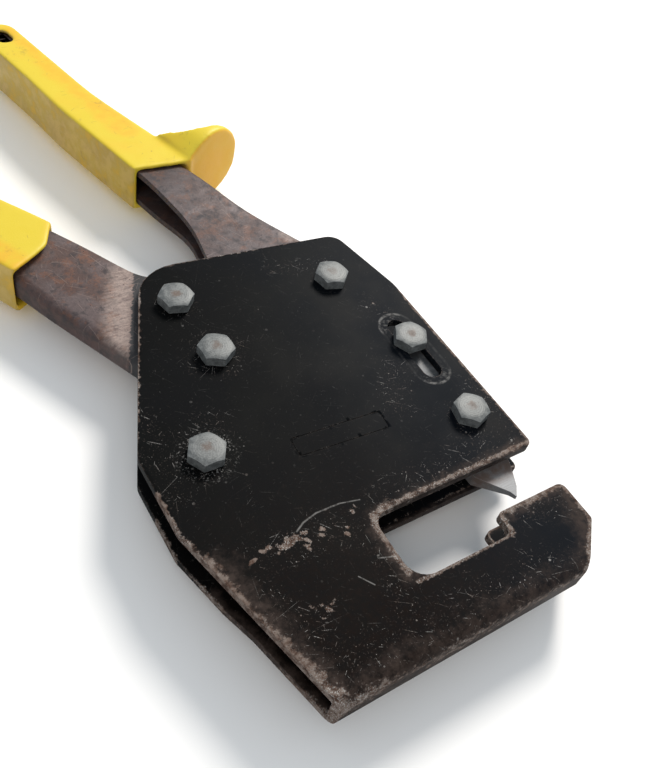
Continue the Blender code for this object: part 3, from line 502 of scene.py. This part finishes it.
def handleSteel(name, bright, scuff, edgeShadeLine=None):
    # Bare sheet steel with light rust. scuff and the line of the dark edge band are (start, end, width) on
    # the sheet; that dark band is painted shade
    kit = Recipe(name)
    broad = kit.noise(11, 4, 0.6)
    middle = kit.noise(4.0, 5, 0.65, shift=9)
    fine = kit.noise(0.9, 4, 0.7)
    colour = kit.mix(kit.ramp(broad, 0.38, 0.62), handleSteelLook["brown"], handleSteelLook["grey"])
    colour = kit.mix(kit.both(kit.ramp(middle, 0.50, 0.66), 0.8), colour, handleSteelLook["dark"])
    rusty = kit.ramp(kit.noise(6, 5, 0.72, shift=31), 0.50, 0.64)
    colour = kit.mix(kit.both(rusty, 0.8), colour, handleSteelLook["rust"])
    streak = kit.noise(1.5, 4, 0.65, stretch=(0.30, 1.7, 1.0), turnDeg=24, shift=4)
    pale = kit.nearLine(*scuff, middle, 9)
    lit = kit.math("ADD", kit.both(streak, 0.55), kit.both(middle, 0.45))
    pale = kit.both(pale, kit.ramp(lit, 0.36, 0.56, 0.25, 1.0))
    colour = kit.mix(kit.both(pale, 0.85), colour, handleSteelLook["scuffed"])
    # Painted shade: faces that stand upright, the web of the channel, are painted dark brown with noise
    web = kit.ramp(kit.facing((0, 0, 1)), 0.85, 0.25, 0.0, 0.85)
    webShadeColour = kit.mix(kit.ramp(middle, 0.36, 0.62), handleSteelLook["webShadeBrown"], handleSteelLook["dark"])
    colour = kit.mix(web, colour, webShadeColour)
    # Painted shade: a dark band on the handle right along the sheet's edge, where the handle goes in under
    # the sheet
    if edgeShadeLine:
        smear = kit.nearLine(*edgeShadeLine)
        smear = kit.math("ADD", smear, kit.both(kit.math("SUBTRACT", streak, 0.5), 2.2))
        smear = kit.ramp(smear, 0.35, 0.6)
        colour = kit.mix(kit.both(smear, 0.95), colour, handleSteelLook["smear"])
    colour = kit.mix(kit.ramp(fine, 0.3, 0.7, 0.0, 0.35), colour, handleSteelLook["dark"])
    pits = kit.specks(1.4, 0.3, 0.35, 12)
    colour = kit.mix(kit.both(pits, 0.7), colour, handleSteelLook["dark"])
    rubbed = kit.both(kit.edges(0.5, 0.16, 0.6), kit.ramp(middle, 0.4, 0.6, 0.1, 0.6))
    colour = kit.mix(kit.both(rubbed, 0.5), colour, handleSteelLook["scuffed"])
    scratches = kit.most(kit.strokes(3.0, 3.0, 0.07, 0.5, 23), kit.strokes(7.0, 8.0, 0.09, 0.4, 51, 55, 70))
    colour = kit.mix(kit.both(scratches, 0.35), colour, handleSteelLook["scuffed"])
    # Painted shade: bright below 1 darkens the whole piece, so that one handle is a shaded copy of the other
    if bright != 1.0:
        colour = kit.mix(1 - bright, colour, handleSteelLook["inside"])
    rough = kit.ramp(middle, 0.3, 0.7, 0.42, 0.66)
    relief = kit.math("ADD", kit.both(fine, 0.5), kit.both(kit.math("SUBTRACT", middle, pits), 0.5))
    return kit.finish(colour, rough, kit.bump(relief, 0.12), kit.ramp(middle, 0.4, 0.7, 0.30, 0.10))


# Yellow vinyl of the grips

vinylLook = {
    "yellow": (0.66, 0.50, 0.030),
    "deep": (0.72, 0.40, 0.022),
    "tan": (0.40, 0.285, 0.105),
    "olive": (0.25, 0.21, 0.065),
    "grime": (0.16, 0.10, 0.045),
    # Orange of the painted shade on the guard's face
    "guard": (0.78, 0.41, 0.030),
    "roughness": 0.40,
    "shine": 0.34,
}

# Soiled and clean lines as (start, end, width), and the way that each sleeve's side with painted shade faces
gripWear = {
    "fixedSoiled": ((-24, 96), (-90, 205), 7.0),
    "fixedClean": ((-12, 112), (-60, 190), 9.0),
    "fixedShadedSide": (-0.85, -0.52, 0),
    "movingSoiled": ((42, 160), (24, 246), 8.0),
    "movingClean": ((46, 134), (24, 200), 9.0),
    "movingShadedSide": (-0.96, -0.25, 0),
    "guardPlace": (73.0, 139.0),
    "guardReach": (14.0, 19.0),
}


def yellowVinyl(name, soiledLine, cleanLine, shadedSide, guardPlace=None):
    # Satin vinyl, soiled orange along soiledLine. Its steep sides carry painted shade: tan and olive where
    # they face the given side, with some dirt, and partly deeper orange all round
    kit = Recipe(name)
    broad = kit.noise(22, 3)
    middle = kit.noise(6, 4, 0.6, shift=5)
    fine = kit.noise(1.1, 4, 0.7)
    colour = kit.mix(kit.ramp(broad, 0.45, 0.72, 0, 0.35), vinylLook["yellow"], vinylLook["deep"])
    soiled = kit.nearLine(*soiledLine, broad, 14)
    colour = kit.mix(kit.both(soiled, kit.ramp(middle, 0.3, 0.62, 0.25, 0.8)), colour, vinylLook["deep"])
    # Painted shade on the steep sides: tan and olive where they face the given side, partly standing for
    # dirt, then deeper orange in places on every steep side
    steep = kit.ramp(kit.facing((0, 0, 1)), 0.80, 0.35)
    face = kit.add("NewGeometry")
    inner = kit.ramp(kit.vector("DOT_PRODUCT", face.outputs["Normal"], shadedSide), 0.25, 0.75)
    dull = kit.mix(kit.ramp(middle, 0.38, 0.62), vinylLook["tan"], vinylLook["olive"])
    colour = kit.mix(kit.both(kit.both(steep, inner), kit.ramp(broad, 0.3, 0.7, 0.72, 0.95)), colour, dull)
    colour = kit.mix(kit.both(steep, kit.ramp(middle, 0.45, 0.7, 0.1, 0.5)), colour, vinylLook["deep"])
    smudge = kit.ramp(kit.noise(9, 4, 0.7, shift=19), 0.58, 0.72)
    smudge = kit.both(smudge, kit.ramp(fine, 0.35, 0.6, 0.2, 0.8))
    smudge = kit.both(smudge, kit.ramp(kit.nearLine(*cleanLine), 0, 1, 1.0, 0.25))
    colour = kit.mix(kit.both(smudge, 0.5), colour, vinylLook["grime"])
    marks = kit.most(kit.specks(4.2, 0.42, 0.18, 8), kit.strokes(3.8, 2.0, 0.09, 0.25, 71))
    level = kit.ramp(kit.facing((0, 0, 1)), 0.55, 0.85, 0.0, 0.6)
    colour = kit.mix(kit.both(marks, level), colour, vinylLook["grime"])
    if guardPlace:
        # Painted shade: the steep face of the guard near its place is painted orange, as the face turned away
        # from the light
        shadedLeaf = kit.both(kit.nearPoint(guardPlace, *gripWear["guardReach"]), steep)
        colour = kit.mix(kit.both(shadedLeaf, kit.ramp(broad, 0.3, 0.6, 0.75, 1.0)), colour, vinylLook["guard"])
    creases = kit.both(kit.edges(1.2, 0.05, 0.5), kit.ramp(middle, 0.45, 0.65, 0.0, 0.35))
    colour = kit.mix(creases, colour, vinylLook["grime"])
    rough = kit.ramp(middle, 0.3, 0.7, vinylLook["roughness"], vinylLook["roughness"] + 0.16)
    relief = kit.math("ADD", kit.both(kit.noise(0.35, 2), 0.25), kit.both(middle, 0.75))
    kit.shader.inputs["Specular IOR Level"].default_value = vinylLook["shine"]
    return kit.finish(colour, rough, kit.bump(relief, 0.14))


# Zinc of the bolts, and steel of the punch and the inner pieces

zincLook = {
    "grey": (0.098, 0.103, 0.101),
    "pale": (0.175, 0.180, 0.175),
    "dark": (0.042, 0.043, 0.042),
    "rust": (0.105, 0.057, 0.034),
    "worn": (0.34, 0.34, 0.33),
}


def zincPlate():
    # Dull zinc. The UV map holds the place across the bolt's axis, in centimetres, for the marks on its head
    kit = Recipe("zincPlate")
    broad = kit.noise(14, 2, 0.5, shift=61)
    middle = kit.noise(2.0, 4, 0.65)
    fine = kit.noise(0.45, 4, 0.7)
    colour = kit.mix(kit.ramp(middle, 0.36, 0.64), zincLook["grey"], zincLook["pale"])
    colour = kit.mix(kit.ramp(fine, 0.50, 0.70, 0, 0.65), colour, zincLook["dark"])
    centred = kit.vector("SUBTRACT", kit.add("UVMap", uv_map="fromAxis").outputs[0], (0.5, 0.5, 0))
    radius = kit.math("MULTIPLY", kit.vector("LENGTH", centred), 10.0)
    turned = kit.math("SINE", kit.both(kit.math("ADD", radius, kit.both(middle, 0.5)), 8.5))
    turned = kit.both(turned, kit.ramp(kit.facing((0, 0, 1)), 0.9, 0.97))
    colour = kit.mix(kit.ramp(turned, 0.2, 1.0, 0, 0.18), colour, zincLook["dark"])
    ragged = kit.math("MULTIPLY", kit.math("SUBTRACT", middle, 0.5), 4.2)
    spot = kit.ramp(kit.math("ADD", radius, ragged), 0.5, 2.4, 1.0, 0.0)
    spot = kit.both(spot, kit.ramp(fine, 0.3, 0.6, 0.35, 0.9))
    spot = kit.both(spot, kit.ramp(broad, 0.34, 0.54, 0.30, 1.0))
    colour = kit.mix(kit.both(spot, 0.85), colour, zincLook["rust"])
    # Lighter edges, partly edge wear and partly a painted highlight
    edgeWearAndHighlight = kit.both(kit.edges(0.45, 0.05, 0.4), kit.ramp(middle, 0.40, 0.62, 0.1, 0.8))
    colour = kit.mix(edgeWearAndHighlight, colour, zincLook["worn"])
    relief = kit.math("ADD", kit.math("SUBTRACT", fine, kit.both(spot, 0.5)), kit.both(turned, 0.10))
    rough = kit.math("ADD", kit.ramp(middle, 0.3, 0.7, 0.44, 0.60), kit.both(spot, 0.2))
    return kit.finish(colour, rough, kit.bump(relief, 0.06), kit.ramp(spot, 0, 1, 0.30, 0.05))


groundLook = {
    "dull": (0.165, 0.170, 0.175),
    "clear": (0.235, 0.240, 0.245),
    "stain": (0.125, 0.080, 0.060),
    "grey": (0.085, 0.080, 0.078),
    "fleck": (0.07, 0.066, 0.065),
    "edge": (0.42, 0.42, 0.42),
    "stainLine": ((76.0, -41.0), (94.0, -41.0), 5.5),
    "metallic": 0.35,
}


def groundSteel():
    # Tool steel with grinding lines, stained brown near the sheet's edge
    kit = Recipe("groundSteel")
    lines = kit.noise(0.5, 3, 0.6, stretch=(0.12, 2.2, 1.0), turnDeg=62)
    middle = kit.noise(4, 4, 0.6)
    fine = kit.noise(0.7, 4, 0.7)
    colour = kit.mix(kit.ramp(lines, 0.35, 0.65), groundLook["dull"], groundLook["clear"])
    stain = kit.nearLine(*groundLook["stainLine"], middle, 4)
    stain = kit.both(stain, kit.ramp(middle, 0.35, 0.6, 0.3, 0.9))
    colour = kit.mix(stain, colour, groundLook["stain"])
    colour = kit.mix(kit.ramp(middle, 0.55, 0.75, 0, 0.5), colour, groundLook["grey"])
    colour = kit.mix(kit.both(kit.ramp(fine, 0.55, 0.7), 0.35), colour, groundLook["fleck"])
    bright = kit.edges(0.5)
    colour = kit.mix(kit.both(bright, 0.45), colour, groundLook["edge"])
    rough = kit.ramp(lines, 0.3, 0.7, 0.46, 0.60)
    return kit.finish(colour, rough, kit.bump(lines, 0.02), groundLook["metallic"])


oiledLook = {"dark": (0.020, 0.019, 0.019), "light": (0.055, 0.046, 0.042)}
cheekLook = {"dark": (0.060, 0.064, 0.068), "light": (0.125, 0.130, 0.135)}
innerWear = {"edge": (0.20, 0.16, 0.13), "scratch": (0.22, 0.20, 0.18), "metallic": 0.3}


def oiledSteel(name, look):
    kit = Recipe(name)
    middle = kit.noise(5, 4, 0.6)
    fine = kit.noise(0.7, 4, 0.7)
    colour = kit.mix(kit.ramp(middle, 0.4, 0.65), look["dark"], look["light"])
    colour = kit.mix(kit.both(kit.edges(0.6), kit.ramp(fine, 0.4, 0.6)), colour, innerWear["edge"])
    colour = kit.mix(kit.both(kit.strokes(3.2, 3.0, 0.08, 0.5, 15), 0.5), colour, innerWear["scratch"])
    rough = kit.ramp(middle, 0.3, 0.7, 0.44, 0.58)
    return kit.finish(colour, rough, kit.bump(fine, 0.06), innerWear["metallic"])


sheetFinish = blackPaint()
fixedSteel = handleSteel("fixedHandleSteel", handleWear["fixedBrightness"], handleWear["fixedScuff"],
                         handleWear["fixedEdgeShade"])
movingSteel = handleSteel("movingHandleSteel", handleWear["movingBrightness"], handleWear["movingScuff"])
fixedVinyl = yellowVinyl("fixedGripVinyl", gripWear["fixedSoiled"], gripWear["fixedClean"],
                         gripWear["fixedShadedSide"])
movingVinyl = yellowVinyl("movingGripVinyl", gripWear["movingSoiled"], gripWear["movingClean"],
                          gripWear["movingShadedSide"], gripWear["guardPlace"])
zinc = zincPlate()
toolSteel = groundSteel()
darkSteel = oiledSteel("oiledSteel", oiledLook)
cheekSteel = oiledSteel("cheekSteel", cheekLook)
print("materials are ready")


# Helpers for pieces that start from a copy of a CAD node

meshForm = {"mergeMm": 0.002, "cornerDeg": 40, "smoothDeg": 38}


def ownMesh(node, flatDeg=1.0):
    # A merged copy of a CAD node's mesh, with its flat faces whole again
    work = bmesh.new()
    work.from_mesh(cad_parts[node].data)
    bmesh.ops.remove_doubles(work, verts=work.verts, dist=meshForm["mergeMm"] * mm)
    bmesh.ops.dissolve_limit(work, angle_limit=math.radians(flatDeg), verts=work.verts, edges=work.edges)
    return work


def sharpEdges(work, angleDeg):
    limit = math.radians(angleDeg)
    return [e for e in work.edges if len(e.link_faces) == 2 and e.calc_face_angle(0) > limit]


def rounded(work, edges, width, segments, clamp=True):
    bmesh.ops.bevel(work, geom=edges, offset=width, offset_type="OFFSET", segments=segments, profile=0.5,
                    affect="EDGES", clamp_overlap=clamp, material=-1)


def finished(work, name, body, material, slotName, *nodes):
    mesh = bpy.data.meshes.new(name)
    work.to_mesh(mesh)
    work.free()
    mesh.shade_smooth()
    mesh.set_sharp_from_angle(angle=math.radians(meshForm["smoothDeg"]))
    mesh.materials.clear()
    mesh.materials.append(material)
    for polygon in mesh.polygons:
        polygon.material_index = 0
    piece = bpy.data.objects.new(name, mesh)
    bpy.context.scene.collection.objects.link(piece)
    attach(piece, body)
    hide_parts(*nodes)
    return piece


def meshObject(work, name):
    mesh = bpy.data.meshes.new(name)
    work.to_mesh(mesh)
    work.free()
    piece = bpy.data.objects.new(name, mesh)
    bpy.context.scene.collection.objects.link(piece)
    return piece


def combined(first, second, operation):
    # The Boolean of two objects, as a bmesh. Both objects are used up
    step = first.modifiers.new("joinOrCut", "BOOLEAN")
    step.operation = operation
    step.solver = "EXACT"
    step.object = second
    graph = bpy.context.evaluated_depsgraph_get()
    mesh = bpy.data.meshes.new_from_object(first.evaluated_get(graph))
    bpy.data.objects.remove(first)
    bpy.data.objects.remove(second)
    work = bmesh.new()
    work.from_mesh(mesh)
    return work


# Each inner node, with its piece, body, material, slot and edge radius
innerPieces = {
    "drive_arm": ("driveArm", "drive_arm", darkSteel, "dark_steel", 0.35),
    "ram_cheek_front": ("ramCheekFront", "ram", cheekSteel, "dark_steel", 0.3),
    "ram_cheek_back": ("ramCheekBack", "ram", cheekSteel, "dark_steel", 0.3),
    "ram_rivet_1": ("ramRivetInner", "ram", toolSteel, "zinc", 0.2),
    "ram_rivet_2": ("ramRivetOuter", "ram", toolSteel, "zinc", 0.2),
    "ram_roller": ("ramRoller", "ram", toolSteel, "tool_steel", 0.25),
    "drive_pin": ("drivePin", "moving_handle", toolSteel, "tool_steel", 0.4),
    "arm_bush": ("armBush", "frame", toolSteel, "tool_steel", 0.25),
    "handle_bush": ("handleBush", "frame", toolSteel, "tool_steel", 0.25),
    "guide_roller": ("guideRoller", "frame", toolSteel, "tool_steel", 0.25),
    "handle_spacer_top": ("handleSpacerTop", "frame", darkSteel, "zinc", 0.3),
    "handle_spacer_low": ("handleSpacerLow", "frame", darkSteel, "zinc", 0.3),
    "arm_washer_front": ("armWasherFront", "frame", darkSteel, "zinc", 0.25),
    "arm_washer_back": ("armWasherBack", "frame", darkSteel, "zinc", 0.25),
}


def makeInnerPieces():
    for node, (name, body, material, slotName, width) in innerPieces.items():
        work = ownMesh(node)
        rounded(work, sharpEdges(work, meshForm["cornerDeg"]), width * mm, 2)
        finished(work, name, body, material, slotName, node)


makeInnerPieces()
print("inner pieces are done")


# Folded sheet

bodyForm = {
    "edgeRound": 0.45,
    "edgeSteps": 3,
    "gridStep": 1.4,
    "stampMiddle": (42.4, -9.6),
    "stampSize": (33.0, 7.4),
    "stampTurnDeg": -3.6,
    "stampLine": 0.45,
    "stampDepth": 0.16,
    "stampRound": 1.4,
    "stampRoundSteps": 5,
    "stampToolHeight": 4,
    "wearBehind": 0.35,  # how wide the wear is on the back sheet, as a share
}


def gridCut(work, node, step, axes=(0, 1)):
    # Cuts flat faces into squares or strips, so that they have vertices to paint on or to smooth
    bmesh.ops.triangulate(work, faces=work.faces)
    low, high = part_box(node)
    for axis in axes:
        count = int((high[axis] - low[axis]) / step)
        for i in range(1, count + 1):
            place = Vector((0, 0, 0))
            place[axis] = low[axis] + i * step
            normal = Vector((0, 0, 0))
            normal[axis] = 1
            everything = work.verts[:] + work.edges[:] + work.faces[:]
            bmesh.ops.bisect_plane(work, geom=everything, plane_co=place, plane_no=normal, dist=1e-6)


def paintWear(mesh, attributeName, segments):
    # Writes 1 on the nearest segment, falling to 0 at its width from it, on every vertex
    spots = np.empty(len(mesh.vertices) * 3, dtype=np.float32)
    mesh.vertices.foreach_get("co", spots)
    spots = spots.reshape(-1, 3)
    flat = (spots[:, :2] - np.array(datum[:2])) / mm
    behind = spots[:, 2] < datum.z
    wear = np.zeros(len(flat))
    for start, end, width in segments:
        start = np.array(start)
        run = np.array(end) - start
        share = np.clip((flat - start) @ run / max(run @ run, 1e-6), 0, 1)
        away = np.linalg.norm(flat - start - share[:, None] * run, axis=1)
        reach = np.where(behind, bodyForm["wearBehind"] * width, width)
        wear = np.maximum(wear, np.clip(1 - away / reach, 0, 1))
    layer = mesh.attributes.new(attributeName, "FLOAT", "POINT")
    layer.data.foreach_set("value", wear.astype(np.float32))


def blankStamp():
    # A thin rectangular frame, as a tool that presses its outline into the front sheet
    depth, line, height = bodyForm["stampDepth"], bodyForm["stampLine"], bodyForm["stampToolHeight"]
    turn = Matrix.Rotation(math.radians(bodyForm["stampTurnDeg"]), 3, "Z")
    middle = onSheet(*bodyForm["stampMiddle"])
    blocks = []
    for inset in (0, line):
        work = bmesh.new()
        bmesh.ops.create_cube(work, size=1.0)
        size = [(side - 2 * inset) * mm for side in bodyForm["stampSize"]]
        bmesh.ops.scale(work, vec=(*size, height * mm), verts=work.verts)
        upright = [e for e in work.edges if abs(e.verts[0].co.z - e.verts[1].co.z) > mm]
        rounded(work, upright, (bodyForm["stampRound"] - inset) * mm, bodyForm["stampRoundSteps"])
        bmesh.ops.rotate(work, verts=work.verts, matrix=turn)
        centre = sheetFront + (height / 2 - depth - inset) * mm
        bmesh.ops.translate(work, verts=work.verts, vec=(middle.x, middle.y, centre))
        blocks.append(meshObject(work, "stampBlock"))
    return combined(blocks[0], blocks[1], "DIFFERENCE")


def makeBody():
    work = ownMesh("body_plate")
    rounded(work, sharpEdges(work, meshForm["cornerDeg"]), bodyForm["edgeRound"] * mm, bodyForm["edgeSteps"])
    work = combined(meshObject(work, "plainSheet"), meshObject(blankStamp(), "stamp"), "DIFFERENCE")
    gridCut(work, "body_plate", bodyForm["gridStep"] * mm)
    sheet = finished(work, "bodySheet", "frame", sheetFinish, "black_paint", "body_plate")
    wear = {"rubbed": rubbedEdges, "scraped": scrapes, "chipped": chipped, "smudged": smudges}
    for attributeName, segments in wear.items():
        paintWear(sheet.data, attributeName, segments)


makeBody()
print("body is done")


# Handles

handleForm = {
    "flatDeg": 0.2,
    "bendRound": 3.4,
    "bendSteps": 7,
    "bendDeg": 30,
    "bendFromMiddle": 4.5,
    "edgeRound": 0.5,
    "edgeSteps": 2,
    "edgeDeg": 50,
    "stripStep": 2.5,
    "fixedWeb": (-0.87, -0.5, 0),
    "movingWeb": (0.95, 0.3, 0),
}


def makeHandle(node, name, body, material, webDirection):
    # Rolls the bends between the flat sides and the web, then breaks the sharp edges
    work = ownMesh(node, handleForm["flatDeg"])
    web = Vector(webDirection).normalized()
    middle = boxCentre(node).z
    bends = []
    for edge in sharpEdges(work, handleForm["bendDeg"]):
        if not edge.is_convex:
            continue
        flat = [f for f in edge.link_faces if abs(f.normal.z) > 0.8]
        side = [f for f in edge.link_faces if f.normal.dot(web) > 0.6]
        fromMiddle = abs(edge.verts[0].co.z - middle)
        if len(flat) == 1 and len(side) == 1 and fromMiddle > handleForm["bendFromMiddle"] * mm:
            bends.append(edge)
    rounded(work, bends, handleForm["bendRound"] * mm, handleForm["bendSteps"], clamp=False)
    edges = sharpEdges(work, handleForm["edgeDeg"])
    rounded(work, edges, handleForm["edgeRound"] * mm, handleForm["edgeSteps"])
    gridCut(work, node, handleForm["stripStep"] * mm, axes=(1,))
    finished(work, name, body, material, "handle_steel", node)


makeHandle("fixed_handle", "fixedHandle", "frame", fixedSteel, handleForm["fixedWeb"])
makeHandle("moving_handle", "movingHandle", "moving_handle", movingSteel, handleForm["movingWeb"])
print("handles are done")


# Vinyl sleeves

sleeveForm = {"voxel": 0.6, "smoothing": 16, "smoothShare": 0.5}


def makeSleeve(node, name, body, material):
    # An even mesh over the node's form, then smoothed so that its corners go soft
    rough = meshObject(ownMesh(node), name + "Rough")
    step = rough.modifiers.new("even", "REMESH")
    step.mode = "VOXEL"
    step.voxel_size = sleeveForm["voxel"] * mm
    graph = bpy.context.evaluated_depsgraph_get()
    even = bpy.data.meshes.new_from_object(rough.evaluated_get(graph))
    bpy.data.objects.remove(rough)
    work = bmesh.new()
    work.from_mesh(even)
    for _ in range(sleeveForm["smoothing"]):
        bmesh.ops.smooth_vert(work, verts=work.verts, factor=sleeveForm["smoothShare"],
                              use_axis_x=True, use_axis_y=True, use_axis_z=True)
    finished(work, name, body, material, "yellow_vinyl", node)


makeSleeve("fixed_grip", "fixedSleeve", "frame", fixedVinyl)
makeSleeve("moving_grip", "movingSleeve", "moving_handle", movingVinyl)
print("sleeves are done")


# Punch blade

bladeForm = {"edgeRound": 0.5, "edgeSteps": 1}


def makeBlade():
    work = ownMesh("punch_blade")
    edges = sharpEdges(work, meshForm["cornerDeg"])
    rounded(work, edges, bladeForm["edgeRound"] * mm, bladeForm["edgeSteps"])
    finished(work, "punchBlade", "ram", toolSteel, "tool_steel", "punch_blade")


makeBlade()
print("punch is done")


# Bolts and nuts

boltForm = {
    "acrossFlats": 11.1,
    "shankR": 3.175,
    "headHeight": 4.1,
    "crown": 0.35,
    "cornerRound": 0.25,
    "chamferDeg": 30,
    "chamferInset": 0.15,
    "threadLength": 9,
    "threadRunOut": 0.4,
    "threadPitch": 1.27,
    "threadDepth": 0.55,
    "crestWear": 0.05,
    "intoHead": 0.6,
    "boreClearance": 0.1,
    "boreFlare": 0.5,
    "nutTurnDeg": 17,
}

# How far each hexagon is turned, in degrees
boltTurns = {
    "handle_top": 14, "handle_low": 2, "arm_pivot": 29, "handle_pivot": 13, "ram": 28, "ram_guide": 48,
}


def spun(profile, steps=48):
    # A closed solid turned round Z from (radius, z) points that start and end on the axis
    work = bmesh.new()
    points = [work.verts.new((r * mm, 0, z * mm)) for r, z in profile]
    edges = [work.edges.new((a, b)) for a, b in zip(points, points[1:])]
    bmesh.ops.spin(work, geom=points + edges, cent=(0, 0, 0), axis=(0, 0, 1), dvec=(0, 0, 0),
                   angle=math.tau, steps=steps, use_merge=True, use_duplicate=False)
    bmesh.ops.remove_doubles(work, verts=work.verts, dist=0.001 * mm)
    bmesh.ops.recalc_face_normals(work, faces=work.faces)
    return work


def hexPrism(low, high, turnDeg):
    work = bmesh.new()
    cornerR = boltForm["acrossFlats"] / 2 / math.cos(math.pi / 6) * mm
    turn = Matrix.Rotation(math.radians(turnDeg), 4, "Z")
    place = Matrix.Translation((0, 0, (low + high) / 2 * mm)) @ turn
    bmesh.ops.create_cone(work, cap_ends=True, segments=6, radius1=cornerR, radius2=cornerR,
                          depth=(high - low) * mm, matrix=place)
    upright = [e for e in work.edges if abs(e.verts[0].co.z - e.verts[1].co.z) > mm]
    rounded(work, upright, boltForm["cornerRound"] * mm, 3)
    return work


def placed(work, centre):
    # Moves a piece to its axis and writes its map of the distance from that axis
    uv = work.loops.layers.uv.new("fromAxis")
    for face in work.faces:
        for loop in face.loops:
            loop[uv].uv = (loop.vert.co.x * 100 + 0.5, loop.vert.co.y * 100 + 0.5)
    bmesh.ops.translate(work, verts=work.verts, vec=(centre.x, centre.y, datum.z))
    return work


def chamferedHex(low, high, turnDeg, top, bottom, crown=0.0):
    # A hexagon whose corners are turned off at its top, its bottom or both
    flatR = boltForm["acrossFlats"] / 2 - boltForm["chamferInset"]
    outerR = flatR / math.cos(math.pi / 6) + 0.4
    fall = (outerR - flatR) * math.tan(math.radians(boltForm["chamferDeg"]))
    lower = [(0, low), (flatR, low), (outerR, low + fall)] if bottom else [(0, low), (outerR, low)]
    upper = [(outerR, high), (0, high)]
    if top:
        upper = [(outerR, high - fall), (flatR, high), (0.7 * flatR, high + crown * 0.6), (0, high + crown)]
    turned = meshObject(spun(lower + upper), "turnedBlank")
    prism = meshObject(hexPrism(low - 1, high + 1, turnDeg), "hexBar")
    return combined(turned, prism, "INTERSECT")


def threadedEnd(low, high):
    # Ridges of a rolled thread from low to high, between two plain ends
    root = boltForm["shankR"] - boltForm["threadDepth"]
    crest = boltForm["shankR"] - boltForm["crestWear"]
    pitch = boltForm["threadPitch"]
    points = [(0, low), (root, low)]
    z = low + 0.3 * pitch
    while z + pitch < high:
        points += [(crest, z + 0.4 * pitch), (crest, z + 0.5 * pitch), (root, z + 0.95 * pitch)]
        z += pitch
    return points


def hardwareName(kind, label):
    return kind + "".join(word.title() for word in label.split("_"))


def ridesOn(label):
    return "ram" if label == "ram" else "frame"


def makeBolt(label, turnDeg):
    node = "bolt_" + label
    low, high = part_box(node)
    top = (high.z - datum.z) / mm - boltForm["crown"]
    under = top + boltForm["crown"] - boltForm["headHeight"]
    foot = (low.z - datum.z) / mm
    hexHead = meshObject(chamferedHex(under, top, turnDeg, True, False, boltForm["crown"]), "hexHead")
    plainFrom = foot + boltForm["threadLength"] + boltForm["threadRunOut"]
    plainTo = under + boltForm["intoHead"]
    profile = threadedEnd(foot, foot + boltForm["threadLength"])
    profile += [(boltForm["shankR"], plainFrom), (boltForm["shankR"], plainTo), (0, plainTo)]
    shank = meshObject(spun(profile, 40), "shank")
    work = placed(combined(hexHead, shank, "UNION"), boxCentre(node))
    finished(work, hardwareName("bolt", label), ridesOn(label), zinc, "zinc", node)


def makeNut(label, turnDeg):
    node = "nut_" + label
    low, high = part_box(node)
    bottom, top = (low.z - datum.z) / mm, (high.z - datum.z) / mm
    hexBlank = chamferedHex(bottom, top, turnDeg + boltForm["nutTurnDeg"], True, True)
    blank = meshObject(hexBlank, "nutBlank")
    bore = boltForm["shankR"] + boltForm["boreClearance"]
    flare = boltForm["boreFlare"]
    tool = spun([(0, bottom - 1), (bore + flare + 1, bottom - 1), (bore, bottom + flare), (bore, top - flare),
                 (bore + flare + 1, top + 1), (0, top + 1)], 40)
    work = placed(combined(blank, meshObject(tool, "tap"), "DIFFERENCE"), boxCentre(node))
    finished(work, hardwareName("nut", label), ridesOn(label), zinc, "zinc", node)


for boltLabel, boltTurn in boltTurns.items():
    makeBolt(boltLabel, boltTurn)
    makeNut(boltLabel, boltTurn)
print("bolts and nuts are done")
